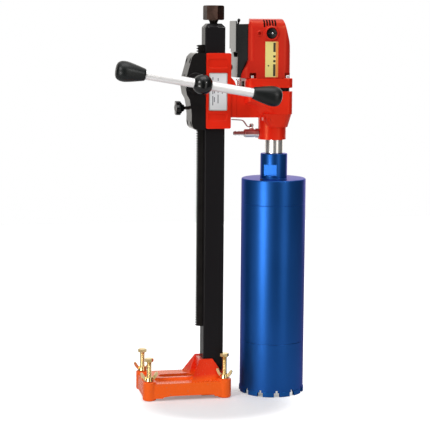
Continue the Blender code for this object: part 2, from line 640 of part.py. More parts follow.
def gear_train(carriage):
    """Intermediate gear cluster, and the spindle with its wheel and bearings."""
    axis = pivot("lay_axis", riding(LAY_X, LAY_Y, 704), carriage)
    to_spindle = math.atan2(-LAY_Y, DRILL_X - LAY_X)
    outline = gear_outline(GEAR_MODULE, TEETH_LAY_PINION, to_spindle)
    at = (LAY_X, LAY_Y, 704)
    gear = place(prism(outline, 1, 21), "intermediate_gear", "bright_steel", parent=axis)
    fuse(gear, turned([(0, -12), (5, -12), (5, 59), (0, 59)], 12), at)
    to_motor = math.atan2(-LAY_Y, MOTOR_X - LAY_X) + math.pi / TEETH_LAY
    fuse(gear, prism(gear_outline(GEAR_MODULE, TEETH_LAY, to_motor, 0.5), 34, 44), at)
    for name, low, high in (("water_seal", 637, 645), ("spindle_bearing_lower", 656, 670),
                            ("spindle_bearing_upper", 684, 698)):
        ring = [(10 + GAP, low), (18.7, low), (18.7, high), (10 + GAP, high)]
        place(turned(ring), name, "bright_steel", riding(DRILL_X), parent=carriage)
    drill(carriage)


def drill(carriage):
    """Spindle, its wheel, and the core bit screwed on below."""
    axis = pivot("spindle_axis", riding(DRILL_X, 0, BIT_TOP), carriage)
    at = (DRILL_X, 0, BIT_TOP)
    spindle = place(prism(circle(0, 0, SPINDLE_COLLAR, 24), 62, 96.5), "drill_spindle",
                    "bright_steel", parent=axis)
    fuse(spindle, turned([(0, 20), (12, 20), (12, 80), (10, 80), (10, 189), (0, 189)], 20), at)
    cut(spindle, prism(circle(0, 0, 4, 8), 0, 113), at)
    cut(spindle, prism(circle(0, 0, 3, 8), -20, 16, "X"), (DRILL_X, 0, VALVE_Z))
    to_lay = math.atan2(LAY_Y, LAY_X - DRILL_X) + math.pi / TEETH_SPINDLE
    wheel = place(prism(gear_outline(GEAR_MODULE, TEETH_SPINDLE, to_lay), 167, 183),
                  "spindle_wheel", "bright_steel", parent=axis)
    cut(wheel, prism(circle(0, 0, 10 + GAP, 20), 100, 200), at)
    drop = CROWN_TOP - BIT_TOP
    inner, bore = BIT_RADIUS - BIT_WALL, 12 + GAP
    outline = [(inner, drop + GAP), (BIT_RADIUS, drop + GAP), (BIT_RADIUS, -2), (BIT_RADIUS - 2, 0),
               (33.25, 0), (33.25, 60), (32, 61.5), (bore, 61.5), (bore, -8), (inner, -8)]
    barrel = place(turned(outline, 36), "bit_barrel", "blue_paint", parent=axis)
    for flat in (math.radians(-121), math.radians(59)):
        cut(barrel, block((29, 50), (-40, 40), (8, 35)), at, (0, 0, flat))
    edge = SEGMENT_HEIGHT - BIT_TOP
    ring = [(inner, edge), (BIT_RADIUS, edge), (BIT_RADIUS, drop), (inner, drop)]
    crown = place(turned(ring, 36), "cutting_crown", "blue_paint", parent=axis)
    fuse(crown, segments(), at)


def segments():
    """Ring of diamond segments, as one tool of separate arcs."""
    bm = bmesh.new()
    inner, outer = BIT_RADIUS - BIT_WALL - 1.5, BIT_RADIUS + 1.5
    span = math.radians(20)
    low, high = -BIT_TOP, SEGMENT_HEIGHT - BIT_TOP + 2
    steps = 2
    for number in range(SEGMENTS):
        start = math.radians(-101 + 22) + 2 * math.pi * number / SEGMENTS - span / 2
        angles = [start + span * i / steps for i in range(steps + 1)]
        outline = [(outer * math.cos(t), outer * math.sin(t)) for t in angles]
        outline += [(inner * math.cos(t), inner * math.sin(t)) for t in reversed(angles)]
        arc = prism(outline, low, high)
        bmesh.ops.recalc_face_normals(arc, faces=arc.faces)
        mesh = bpy.data.meshes.new("arc")
        arc.to_mesh(mesh)
        arc.free()
        bm.from_mesh(mesh)
        bpy.data.meshes.remove(mesh)
    return bm


def water_valve(carriage):
    """Ball valve screwed into the nose, with a hose tail and a quarter-turn lever."""
    tail = [(0, 130), (6.5, 130), (6.5, 114.8), (11.3, 114.3), (11.3, 108.5), (10.2, 107),
            (10.2, 80), (7.5, 78), (4.6, 76)]
    for barb in (70, 62.5, 54):
        tail += [(5.5, barb + 1), (4.0, barb)]
    tail += [(3.6, 51.6), (0, 51.6)]
    body = place(turned(tail, 16, "X"), "valve_body", "chrome", riding(0, 0, VALVE_Z),
                 parent=carriage)
    cut(body, prism(circle(0, 0, 2.5, 8), 40, 78, "X"), (0, 0, VALVE_Z))
    fuse(body, turned([(0, 0), (5.5, 0), (5.5, 12.5), (0, 12.5)], 12), (VALVE_X, 0, VALVE_Z))
    cut(body, turned([(0, 6), (3 + GAP, 6), (3 + GAP, 20), (0, 20)], 12), (VALVE_X, 0, VALVE_Z))
    axis = pivot("valve_axis", riding(VALVE_X, 0, VALVE_Z), carriage)
    stem = [(0, 7), (3, 7), (3, 13.5), (5.2, 13.5), (5.2, 24), (0, 24)]
    lever = place(turned(stem, 12), "valve_lever", "chrome", parent=axis)
    blade = [(0, 14.5), (-9, 14.5), (-14, 17), (-19, 25), (-25, 30), (-51, 33), (-51, 35),
             (-24, 32.5), (-17.5, 27), (-12.5, 19), (-8.5, 16.8), (0, 16.8)]
    fuse(lever, prism(blade, -4.5, 4.5, "Y"), (VALVE_X, 0, VALVE_Z))


for thing in list(bpy.data.objects):
    bpy.data.objects.remove(thing, do_unlink=True)
base_casting()
column()
rack()
jack_screw()
levelling_screws()
ride = pivot("carriage_origin", (0, 0, FEED_Z))
for build in (carriage_casting, guide_liners, gear_housing, housing_screws, shaft_bushes, plates,
              feed_handle, lock_knob, gearbox, motor_housing, motor_fittings, switch_unit,
              motor_inside, gear_train, water_valve):
    build(ride)
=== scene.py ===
import math

import bmesh
import bpy
from mathutils import Matrix, Vector


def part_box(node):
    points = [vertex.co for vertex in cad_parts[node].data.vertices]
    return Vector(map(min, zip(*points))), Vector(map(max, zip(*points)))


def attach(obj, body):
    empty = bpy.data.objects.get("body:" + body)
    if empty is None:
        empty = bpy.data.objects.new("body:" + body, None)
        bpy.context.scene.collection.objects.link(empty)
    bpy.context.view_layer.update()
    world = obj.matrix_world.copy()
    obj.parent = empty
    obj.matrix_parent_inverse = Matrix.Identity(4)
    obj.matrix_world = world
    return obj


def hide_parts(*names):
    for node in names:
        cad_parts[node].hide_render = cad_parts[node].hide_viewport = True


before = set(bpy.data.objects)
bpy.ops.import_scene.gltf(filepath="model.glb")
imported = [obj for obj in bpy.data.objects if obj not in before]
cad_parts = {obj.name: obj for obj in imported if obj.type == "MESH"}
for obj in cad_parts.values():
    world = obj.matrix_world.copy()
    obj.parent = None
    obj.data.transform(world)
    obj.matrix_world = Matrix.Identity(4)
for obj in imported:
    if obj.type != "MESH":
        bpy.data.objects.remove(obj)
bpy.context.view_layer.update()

# ---- Camera -------------------------------------------------------------------------
# A long lens a little left of the front, looking slightly down, as for a catalogue.
# The frame is shifted a little to place the machine, and its tones are left plain.
view = bpy.data.objects.new("camera", bpy.data.cameras.new("camera"))
bpy.context.scene.collection.objects.link(view)
view_turn, view_dip, view_roll = math.radians(10.99), math.radians(6.82), math.radians(0.31)
view.matrix_world = (Matrix.Translation((-0.6660, -3.2075, 0.8936))
                     @ Matrix.Rotation(-view_turn, 4, "Z")
                     @ Matrix.Rotation(math.pi / 2 - view_dip, 4, "X")
                     @ Matrix.Rotation(view_roll, 4, "Z"))
view.data.lens = 111.76
view.data.shift_x = 0.0459
view.data.shift_y = -0.0498
view.data.clip_end = 200
bpy.context.scene.camera = view
bpy.context.scene.view_settings.view_transform = "Standard"


# ---- Studio -------------------------------------------------------------------------
# A ring of tall cloths, pale and dark by turns, stands round the machine.  It gives a soft
# light and shows in reflections; straight on there is plain white paper.  Four soft lamps
# hang above and to the sides, and a wide pale table keeps a shadow under the machine; close
# to the machine its glow, seen straight on, is dimmed to a painted shadow.
def spread(tree, source, start=0.0, end=1.0, low=0.0, high=1.0, way="LINEAR"):
    """Stretch a value's range over another one."""
    made = tree.nodes.new("ShaderNodeMapRange")
    made.interpolation_type = way
    for setting, value in (("From Min", start), ("From Max", end), ("To Min", low), ("To Max", high)):
        made.inputs[setting].default_value = value
    tree.links.new(source, made.inputs["Value"])
    return made.outputs[0]


def calculate(tree, operation, one, two):
    """One number worked out from two others."""
    made = tree.nodes.new("ShaderNodeMath")
    made.operation = operation
    tree.links.new(one, made.inputs[0])
    tree.links.new(two, made.inputs[1])
    return made.outputs[0]


def blend(tree, share, one, two):
    """Mix two colours by a share; each is a socket or three numbers."""
    made = tree.nodes.new("ShaderNodeMix")
    made.data_type = "RGBA"
    tree.links.new(share, made.inputs["Factor"])
    for slot, colour in (("A", one), ("B", two)):
        if isinstance(colour, bpy.types.NodeSocket):
            tree.links.new(colour, made.inputs[slot])
        else:
            made.inputs[slot].default_value = (*colour, 1)
    return made.outputs["Result"]


sky = bpy.data.worlds.new("studio_room")
sky.use_nodes = True
tree = sky.node_tree
facing = tree.nodes.new("ShaderNodeMapping")
facing.inputs["Rotation"].default_value = (0, 0, math.pi / 2 + view_turn)
outward = tree.nodes.new("ShaderNodeTexCoord").outputs["Generated"]
tree.links.new(outward, facing.inputs["Vector"])
parts = tree.nodes.new("ShaderNodeSeparateXYZ")
tree.links.new(facing.outputs["Vector"], parts.inputs["Vector"])
round_about = calculate(tree, "ARCTAN2", parts.outputs["Y"], parts.outputs["X"])
walls = tree.nodes.new("ShaderNodeValToRGB")
cloths = [(-180, 0.60), (-168, 0.50), (-150, 0.46), (-142, 0.60), (-136, 0.60), (-126, 0.06),
          (-76, 0.05), (-62, 0.25), (-46, 0.85), (-26, 0.75), (-12, 0.16), (0, 0.02), (24, 0.02),
          (31, 0.80), (42, 0.90), (54, 0.05), (126, 0.06), (140, 0.80), (180, 0.80)]
while len(walls.color_ramp.elements) < len(cloths):
    walls.color_ramp.elements.new(0.5)
for stop, (degrees, shade) in zip(walls.color_ramp.elements, cloths):
    stop.position = (degrees + 180) / 360
    stop.color = (shade, shade * 0.97, shade * 0.92, 1)
tree.links.new(spread(tree, round_about, -math.pi, math.pi), walls.inputs["Fac"])
ceiling_grey = (0.50, 0.50, 0.50)
above = spread(tree, parts.outputs["Z"], 0.55, 0.80)
lit = tree.nodes.new("ShaderNodeBackground")
tree.links.new(blend(tree, above, walls.outputs["Color"], ceiling_grey), lit.inputs["Color"])
ray = tree.nodes.new("ShaderNodeLightPath").outputs
soft_light, mirrored_light = 0.80, 2.0
brightness = spread(tree, ray["Is Glossy Ray"], low=soft_light, high=mirrored_light)
tree.links.new(brightness, lit.inputs["Strength"])
paper = tree.nodes["Background"]
paper.inputs["Color"].default_value = (1, 1, 1, 1)
either = tree.nodes.new("ShaderNodeMixShader")
seen = calculate(tree, "MAXIMUM", ray["Is Camera Ray"], ray["Is Transmission Ray"])
tree.links.new(seen, either.inputs["Fac"])
tree.links.new(lit.outputs[0], either.inputs[1])
tree.links.new(paper.outputs[0], either.inputs[2])
tree.links.new(either.outputs[0], tree.nodes["World Output"].inputs["Surface"])
bpy.context.scene.world = sky


def soft_lamp(name, place, aim, width, height, watts):
    """Wide soft light aimed at a point."""
    lamp = bpy.data.lights.new(name, "AREA")
    lamp.shape = "RECTANGLE"
    lamp.size, lamp.size_y, lamp.energy = width, height, watts
    made = bpy.data.objects.new(name, lamp)
    made.location = place
    made.rotation_euler = (Vector(aim) - Vector(place)).to_track_quat("-Z", "Y").to_euler()
    bpy.context.scene.collection.objects.link(made)


soft_lamp("overhead", (0.1, -0.5, 2.8), (0, 0, 0.5), 1.8, 1.4, 22)
soft_lamp("upper_left", (-1.9, -1.6, 2.0), (0, 0, 0.6), 0.8, 0.8, 21)
soft_lamp("upper_right", (1.4, -2.2, 1.8), (0, 0, 0.6), 0.35, 0.5, 12)
soft_lamp("low_left", (-1.8, -1.7, 0.15), (0.12, 0, 0.35), 0.9, 0.6, 18)


def blank(name):
    """New material, its node tree and its shader's inputs."""
    made = bpy.data.materials.new(name)
    made.use_nodes = True
    return made, made.node_tree, made.node_tree.nodes["Principled BSDF"].inputs


floor_mesh = bpy.data.meshes.new("floor")
table = [(-2.2, -0.95), (2.2, -0.95), (2.2, 3.0), (-2.2, 3.0)]
floor_mesh.from_pydata([(x, y, 0) for x, y in table], [], [(0, 1, 2, 3)])
floor = bpy.data.objects.new("floor", floor_mesh)
floor.location.z = -0.0004
bpy.context.scene.collection.objects.link(floor)
pale, tree, skin = blank("pale_floor")
skin["Base Color"].default_value = (0.80, 0.80, 0.81, 1)
skin["Roughness"].default_value = 0.6
skin["Specular IOR Level"].default_value = 0.1
skin["Emission Color"].default_value = (1, 1, 1, 1)
# Seen straight on, the table glows white, but less near the machine: a painted shadow spot round its foot,
# on top of the real shadow.
painted_shadow_spot = tree.nodes.new("ShaderNodeMapping")
painted_shadow_spot.vector_type = "TEXTURE"
painted_shadow_spot.inputs["Location"].default_value = (-0.01, -0.115, 0)
painted_shadow_spot.inputs["Scale"].default_value = (0.23, 0.17, 1)
on_table = tree.nodes.new("ShaderNodeTexCoord").outputs["Object"]
tree.links.new(on_table, painted_shadow_spot.inputs["Vector"])
away = tree.nodes.new("ShaderNodeVectorMath")
away.operation = "LENGTH"
tree.links.new(painted_shadow_spot.outputs[0], away.inputs[0])
glow_outside_painted_shadow = spread(tree, away.outputs["Value"], 0.55, 1.15, 0.20, 0.80, "SMOOTHSTEP")
straight = tree.nodes.new("ShaderNodeLightPath").outputs["Is Camera Ray"]
tree.links.new(calculate(tree, "MULTIPLY", straight, glow_outside_painted_shadow), skin["Emission Strength"])
floor_mesh.materials.append(pale)


# ---- Base casting -------------------------------------------------------------------
# Grey iron sand casting in orange-red enamel: a plate on a skirt, a lobe for a levelling
# screw at each corner, a raised anchor slot, and flared cheeks that hold the column.
def noise(tree, scale, detail, stretch=(1, 1, 1)):
    """Noise fixed to the piece; a bigger number in stretch packs it closer along that axis."""
    made = tree.nodes.new("ShaderNodeTexNoise")
    made.inputs["Scale"].default_value = scale
    made.inputs["Detail"].default_value = detail
    where = tree.nodes.new("ShaderNodeMapping")
    where.inputs["Scale"].default_value = stretch
    tree.links.new(tree.nodes.new("ShaderNodeTexCoord").outputs["Object"], where.inputs["Vector"])
    tree.links.new(where.outputs[0], made.inputs["Vector"])
    return made.outputs["Fac"]


def height(tree):
    """Height above the table."""
    parts = tree.nodes.new("ShaderNodeSeparateXYZ")
    tree.links.new(tree.nodes.new("ShaderNodeTexCoord").outputs["Object"], parts.inputs[0])
    return parts.outputs["Z"]


def emboss(tree, relief, strength, distance):
    """Raise the surface by a relief."""
    made = tree.nodes.new("ShaderNodeBump")
    made.inputs["Strength"].default_value = strength
    made.inputs["Distance"].default_value = distance
    tree.links.new(relief, made.inputs["Height"])
    tree.links.new(made.outputs["Normal"], tree.nodes["Principled BSDF"].inputs["Normal"])


def shades(colour, dark, light):
    """A darker and a lighter shade of a colour."""
    return [c * dark for c in colour], [min(1, c * light) for c in colour]


def enamel(name, colour, roughness=0.28, worn=(0.20, 0.17, 0.15), glint=(1, 1, 1), upper=None,
           shine=0.42):
    """Sprayed paint: slow colour drift, faint orange peel, rubbed edges, a few specks."""
    made, tree, skin = blank(name)
    skin["Specular IOR Level"].default_value = shine
    skin["Specular Tint"].default_value = (*glint, 1)
    paint = blend(tree, noise(tree, 9, 2), *shades(colour, 0.93, 1.06))
    # Above 44 to 56 mm the colour turns to the upper one; on the base the orange below stands for painted
    # light from the table falling on the red paint.
    if upper:
        paint = blend(tree, spread(tree, height(tree), 0.044, 0.056), paint, upper)
    scuff = noise(tree, 260, 6)
    edge = tree.nodes.new("ShaderNodeNewGeometry").outputs["Pointiness"]
    ridge = spread(tree, edge, 0.54, 0.68, 0.0, 0.16)
    rubbed = spread(tree, calculate(tree, "ADD", scuff, ridge), 0.80, 0.88, 0.0, 0.45)
    tree.links.new(blend(tree, rubbed, paint, worn), skin["Base Color"])
    gloss = spread(tree, scuff, low=roughness - 0.05, high=roughness + 0.06)
    tree.links.new(gloss, skin["Roughness"])
    emboss(tree, noise(tree, 190, 1), 0.006, 0.0004)
    return made


def solid(name, shape, material):
    """Named piece from a bmesh, faces out."""
    bmesh.ops.recalc_face_normals(shape, faces=shape.faces)
    mesh = bpy.data.meshes.new(name)
    shape.to_mesh(mesh)
    shape.free()
    mesh.materials.append(material)
    piece = bpy.data.objects.new(name, mesh)
    bpy.context.scene.collection.objects.link(piece)
    return piece


def settle(piece):
    """Make the piece's modifiers part of its mesh."""
    graph = bpy.context.evaluated_depsgraph_get()
    mesh = bpy.data.meshes.new_from_object(piece.evaluated_get(graph))
    piece.modifiers.clear()
    old = piece.data
    piece.data = mesh
    bpy.data.meshes.remove(old)


def machine(piece, tools, operation="DIFFERENCE"):
    """Cut or join bmesh tools, one after another."""
    for tool in tools:
        other = solid("tool", tool, piece.data.materials[0])
        step = piece.modifiers.new("step", "BOOLEAN")
        step.operation, step.object, step.solver = operation, other, "EXACT"
        settle(piece)
        bpy.data.objects.remove(other, do_unlink=True)


def ease(piece, width, steps=3, angle=28):
    """Round the piece's edges and shade it smooth."""
    if width:
        edge = piece.modifiers.new("edge", "BEVEL")
        edge.width, edge.segments = width, steps
        edge.limit_method, edge.angle_limit = "ANGLE", math.radians(angle)
        edge.use_clamp_overlap = True
        edge.miter_outer = "MITER_ARC"
        settle(piece)
    piece.data.shade_smooth()
    piece.data.set_sharp_from_angle(angle=math.radians(50))
    flat = piece.modifiers.new("flat", "WEIGHTED_NORMAL")
    flat.keep_sharp = True
    settle(piece)


def fit(piece, body, slot, *nodes):
    """The piece stands for CAD nodes and moves with their body.  The slot argument is not used."""
    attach(piece, body)
    if nodes:
        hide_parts(*nodes)


def extrude(outline, low, high, axis="Z"):
    """Closed outline pushed along an axis: Z takes (x, y), Y (x, z), X (y, z)."""
    order = {"Z": (0, 1, 2), "Y": (0, 2, 1), "X": (2, 0, 1)}[axis]
    shape = bmesh.new()
    ends = []
    for level in (low, high):
        ring = []
        for a, b in outline:
            point = (a, b, level)
            ring.append(shape.verts.new([point[i] for i in order]))
        ends.append(ring)
        shape.faces.new(ring)
    for i in range(len(outline)):
        j = (i + 1) % len(outline)
        shape.faces.new((ends[0][i], ends[0][j], ends[1][j], ends[1][i]))
    return shape


def loft(low_outline, high_outline, low, high):
    """Upright solid between two outlines with as many points each."""
    shape = extrude(low_outline, low, high)
    shape.verts.ensure_lookup_table()
    for i, (a, b) in enumerate(high_outline):
        shape.verts[len(low_outline) + i].co = (a, b, high)
    return shape


def spin(profile, centre, axis="Z", steps=48):
    """Turned solid of (radius, height) points about an axis through centre."""
    order = {"Z": (0, 1, 2), "Y": (0, 2, 1), "X": (2, 0, 1)}[axis]
    shape = bmesh.new()
    rings = []
    for radius, height in profile:
        ring = []
        for i in range(steps if radius else 1):
            angle = 2 * math.pi * i / steps
            point = (radius * math.cos(angle), radius * math.sin(angle), height)
            ring.append(shape.verts.new(Vector([point[k] for k in order]) + Vector(centre)))
        rings.append(ring)
    pairs = list(zip(rings, rings[1:]))
    if profile[0][0] and profile[-1][0]:
        pairs.append((rings[-1], rings[0]))
    for one, two in pairs:
        if len(one) == len(two) == 1:
            continue
        for i in range(steps):
            j = (i + 1) % steps
            corners = (one[i % len(one)], one[j % len(one)], two[j % len(two)], two[i % len(two)])
            shape.faces.new(list(dict.fromkeys(corners)))
    return shape


def soft_box(left, right, near, far, radius, steps=6):
    """Rectangle with round corners, as an outline."""
    points = []
    centres = ((right - radius, far - radius, 0), (left + radius, far - radius, 90),
               (left + radius, near + radius, 180), (right - radius, near + radius, 270))
    for a, b, start in centres:
        for i in range(steps + 1):
            turn = math.radians(start + 90 * i / steps)
            points.append((a + radius * math.cos(turn), b + radius * math.sin(turn)))
    return points


def ring_of(a, b, radius, steps=32, phase=0.0):
    """Circle, or with few steps a polygon, as an outline."""
    turns = [phase + 2 * math.pi * i / steps for i in range(steps)]
    return [(a + radius * math.cos(t), b + radius * math.sin(t)) for t in turns]


def brick(x, y, z):
    """Plain block between two limits along each axis."""
    return extrude([(x[0], y[0]), (x[1], y[0]), (x[1], y[1]), (x[0], y[1])], z[0], z[1])


base_low, base_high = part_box("base_casting")
deck, lobe_top, lobe = 0.042, 0.0473, 0.017
left, right, front, back = base_low.x, base_high.x, base_low.y, base_high.y


def inset(gap, radius):
    """The base plate's outline, pulled in by a gap."""
    return soft_box(left + gap, right - gap, front + gap, back - gap, radius)


warm = (1.0, 0.50, 0.22)
# The base's orange below the cheeks is painted light from the table; the cheeks keep the red.
orange = enamel("orange_enamel", (0.96, 0.128, 0.014), 0.26, glint=warm, upper=(0.86, 0.036, 0.010))
base = solid("base", loft(inset(0.002, 0.014), inset(0.004, 0.014), 0.006, deck), orange)
machine(base, [extrude(inset(0.010, 0.008), 0.0, deck - 0.009)])
corners = [(x, y) for x in (left + lobe, right - lobe) for y in (front + lobe, back - lobe)]
lobes = [spin([(0, 0), (lobe - 0.004, 0), (lobe - 0.001, 0.0012), (lobe, 0.004), (lobe, lobe_top - 0.002),
               (lobe - 0.002, lobe_top), (0, lobe_top)], (x, y, 0), steps=40) for x, y in corners]
machine(base, lobes, "UNION")
arch = [(left + 0.040, -0.01), (right - 0.040, -0.01), (right - 0.044, 0.0095), (right - 0.060, 0.0110),
        (left + 0.070, 0.0110), (left + 0.050, 0.0085)]
machine(base, [extrude(arch, front - 0.01, back + 0.01, "Y")])
slot_middle = -0.092
machine(base, [brick((-0.030, 0.030), (-0.030, 0.030), (0, deck - 0.001)),
               loft(soft_box(slot_middle - 0.056, slot_middle + 0.054, -0.0265, 0.0265, 0.014),
                    soft_box(slot_middle - 0.053, slot_middle + 0.051, -0.0235, 0.0235, 0.012),
                    deck - 0.001, lobe_top)], "UNION")
machine(base, [extrude(soft_box(slot_middle - 0.042, slot_middle + 0.042, -0.013, 0.013, 0.0129, 8),
                       0.02, 0.06)])
cheek_top, near_column = base_high.z, 0.0253
cheeks = []
for side, toe in ((-1, 0.0588), (1, 0.0698)):
    foot = [(-0.063, toe), (-0.010, 0.0375), (0.033, 0.0332), (0.033, near_column), (-0.052, near_column)]
    head = [(-0.036, 0.0312), (-0.020, 0.0312), (-0.003, 0.0312), (-0.003, near_column),
            (-0.036, near_column)]
    cheeks.append(loft([(x, side * y) for x, y in foot], [(x, side * y) for x, y in head], deck - 0.002,
                       cheek_top))
cheeks.append(brick((-0.036, -near_column), (-0.0282, 0.0282), (deck - 0.002, cheek_top - 0.002)))
machine(base, cheeks, "UNION")
screw_at = []
for number in range(1, 5):
    low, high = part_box("levelling_screw_%d" % number)
    screw_at.append(((low.x + high.x) / 2, (low.y + high.y) / 2, high.z))
machine(base, [extrude(ring_of(x, y, 0.0066), -0.01, 0.06) for x, y, top in screw_at])
ease(base, 0.0016, 3, 24)
fit(base, "stand", "base_paint", "base_casting")


# ---- Column and cap -----------------------------------------------------------------
# Cold-drawn 50 mm square steel tube in black gloss, closed by a pressed-in steel cap
# with bevelled edges that is tapped for the jack screw.
black = enamel("black_enamel", (0.012, 0.011, 0.012), 0.22, (0.05, 0.045, 0.04), shine=0.06)
tube_low, tube_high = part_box("column_tube")
side = tube_high.x
tube = solid("column", extrude(soft_box(-side, side, -side, side, 0.0038), tube_low.z, tube_high.z), black)
machine(tube, [extrude(soft_box(-side + 0.004, side - 0.004, -side + 0.004, side - 0.004, 0.002),
                       tube_low.z - 0.01, tube_high.z + 0.01)])
ease(tube, 0.0003, 2, 40)
fit(tube, "stand", "black_paint", "column_tube")
cap_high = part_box("column_cap")[1]
slope = 0.008
cap = solid("cap", loft(soft_box(-side, side, -side, side, 0.0038),
                        soft_box(-side + slope, side - slope, -side + slope, side - slope, 0.0025),
                        tube_high.z + 0.0003, cap_high.z), black)
machine(cap, [extrude(ring_of(0, 0, 0.0106), 0.8, 1.0)])
ease(cap, 0.0008, 3, 24)
fit(cap, "stand", "black_paint", "column_cap")


# ---- Toothed rack -------------------------------------------------------------------
# Milled steel rack, blackened in oil, with straight-sided teeth; the feed pinion climbs
# it.  The back corner of the teeth is ground off.
def metal(name, colour, roughness=0.3, grain=(1, 1, 30), scale=60, depth=0.06, stain_and_reflection=None, metallic=1.0,
          shine=0.5):
    """Bare metal: fine lines along one way, cloudy shine, and a little stain."""
    made, tree, skin = blank(name)
    skin["Metallic"].default_value = metallic
    skin["Specular IOR Level"].default_value = shine
    cloud = spread(tree, noise(tree, 35, 4), 0.30, 0.55)
    # A real stain on most metals; on the valve's chrome this colour is a painted reflection.
    stain_and_reflection = stain_and_reflection or [c * 0.72 for c in colour]
    tree.links.new(blend(tree, cloud, stain_and_reflection, colour), skin["Base Color"])
    lines = noise(tree, scale, 5, grain)
    gloss = spread(tree, lines, low=max(0.03, roughness - 0.08), high=roughness + 0.12)
    tree.links.new(gloss, skin["Roughness"])
    emboss(tree, lines, depth, 0.0003)
    return made


def dress(material, *names):
    """Give CAD nodes a finish and keep their own shape."""
    for name in names:
        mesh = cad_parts[name].data
        mesh.materials.clear()
        mesh.materials.append(material)


dark_steel = metal("blackened_steel", (0.055, 0.045, 0.04), 0.38, (1, 20, 1), 80, 0.10,
                   (0.022, 0.017, 0.015))
oiled = metal("oil_black", (0.016, 0.014, 0.013), 0.55, (1, 20, 1), 80, 0.10, (0.010, 0.009, 0.008),
              metallic=0.0, shine=0.08)
rack_low, rack_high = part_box("toothed_rack")
tooth_pitch, crest, gullet = 0.002 * math.pi, rack_low.x, rack_low.x + 0.0045
outline = [(rack_high.x, rack_low.z)]
tooth_count = 111
for tooth in range(tooth_count):
    for x, part in ((gullet, 0.16), (crest, 0.365), (crest, 0.635), (gullet, 0.84)):
        outline.append((x, rack_low.z + (tooth + part) * tooth_pitch))
outline.append((rack_high.x, rack_high.z))
comb = solid("rack_bar", extrude(outline, rack_low.y, rack_high.y, "Y"), oiled)
back_corner = [(crest - 0.001, 0.0), (crest - 0.001, 0.0065), (gullet + 0.0002, 0.0065)]
machine(comb, [extrude(back_corner, rack_low.z - 0.001, rack_high.z + 0.001)])
ease(comb, 0)
fit(comb, "stand", "dark_steel", "toothed_rack")
dress(dark_steel, "armature")


# ---- Jack screw ---------------------------------------------------------------------
# Turned steel screw with a large hexagon head, oil-blacked; it runs up against a
# ceiling to brace the stand.
jack_low, jack_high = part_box("jack_screw")
head_low = cap_high.z + 0.0085
crown = ring_of(0, 0, 0.026, 6, math.radians(40))
brown_steel = metal("oiled_steel", (0.085, 0.050, 0.040), 0.34, (1, 20, 1), 80, 0.08, (0.030, 0.018, 0.014))
head = solid("jack_head", extrude(crown, head_low, jack_high.z), brown_steel)
rounding = [(0, head_low - 0.001), (0.0225, head_low - 0.001), (0.0275, head_low + 0.0035),
            (0.0275, jack_high.z - 0.0035), (0.0225, jack_high.z + 0.0008), (0, jack_high.z + 0.0008)]
machine(head, [spin(rounding, (0, 0, 0))], "INTERSECT")
ease(head, 0.0008, 3, 15)
fit(head, "jack_screw", "dark_steel", "jack_screw")
thread_low = cap_high.z + 0.0026
turns = [(0, jack_low.z)]
pitch = 0.0025
ridge = jack_low.z + 0.002
while ridge < thread_low:
    turns += [(0.0091, ridge), (0.0100, ridge + pitch * 0.42), (0.0100, ridge + pitch * 0.58)]
    ridge += pitch
turns += [(0.0092, ridge), (0.0095, cap_high.z + 0.003), (0.0120, head_low - 0.001),
          (0.0120, head_low + 0.001), (0, head_low + 0.001)]
thread = solid("jack_thread", spin(turns, (0, 0, 0), steps=32), dark_steel)
ease(thread, 0)
fit(thread, "jack_screw", "dark_steel")


# ---- Levelling screws and wing nuts -------------------------------------------------
# M12 hexagon screws in yellow passivated zinc, one through each lobe, with a pressed
# wing nut under each head that locks it once the base stands level.
def swing(shape, place, turn, axis="Z"):
    """Turn a shape about an axis, then move it to its place."""
    where = Matrix.Translation(place) @ Matrix.Rotation(turn, 4, axis)
    bmesh.ops.transform(shape, matrix=where, verts=shape.verts)
    return shape


zinc = metal("yellow_zinc", (0.86, 0.68, 0.36), 0.20, (1, 1, 8), 70, 0.05, (0.62, 0.42, 0.14))
wing_turn = [math.radians(t) for t in (4, 4, -40, 28)]
for number, (x, y, top) in enumerate(screw_at, 1):
    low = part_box("levelling_screw_%d" % number)[0].z
    head_low = top - 0.008
    screw_head = solid("screw_head_%d" % number, extrude(ring_of(x, y, 0.011, 6), head_low, top), zinc)
    dome = [(0, head_low - 0.001), (0.0098, head_low - 0.001), (0.0115, head_low + 0.0012),
            (0.0115, top - 0.0016), (0.0092, top + 0.0006), (0, top + 0.0006)]
    machine(screw_head, [spin(dome, (x, y, 0))], "INTERSECT")
    ease(screw_head, 0.0003, 2, 15)
    fit(screw_head, "levelling_screw_%d" % number, "yellow_zinc", "levelling_screw_%d" % number)
    turns = [(0, low), (0.0044, low), (0.0052, low + 0.0012)]
    ridge, pitch = low + 0.0015, 0.00175
    while ridge + pitch < head_low:
        turns += [(0.0053, ridge), (0.0060, ridge + pitch * 0.4), (0.0060, ridge + pitch * 0.6)]
        ridge += pitch
    turns += [(0.0053, ridge), (0.0056, head_low + 0.0005), (0, head_low + 0.0005)]
    shank = solid("screw_thread_%d" % number, spin(turns, (x, y, 0), steps=28), zinc)
    ease(shank, 0)
    fit(shank, "levelling_screw_%d" % number, "yellow_zinc")

    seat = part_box("wing_nut_%d" % number)[0].z
    bore = 0.0064
    collar = [(bore, seat), (0.0105, seat), (0.0110, seat + 0.0010), (0.0098, seat + 0.0075),
              (0.0088, seat + 0.0106), (bore + 0.0008, seat + 0.0110), (bore, seat + 0.0102)]
    nut = solid("nut_%d" % number, spin(collar, (x, y, 0), steps=32), zinc)
    wings = []
    for way in (-1, 1):
        outline = [(0.0084, 0.0016), (0.0130, 0.0040), (0.0190, 0.0110), (0.0222, 0.0180), (0.0215, 0.0212),
                   (0.0190, 0.0225), (0.0160, 0.0212), (0.0125, 0.0150), (0.0084, 0.0098)]
        wing = extrude([(way * a, b) for a, b in outline], -0.0019, 0.0019, "Y")
        wings.append(swing(wing, (x, y, seat), wing_turn[number - 1]))
    machine(nut, wings, "UNION")
    ease(nut, 0.0008, 3, 30)
    fit(nut, "wing_nut_%d" % number, "yellow_zinc", "wing_nut_%d" % number)


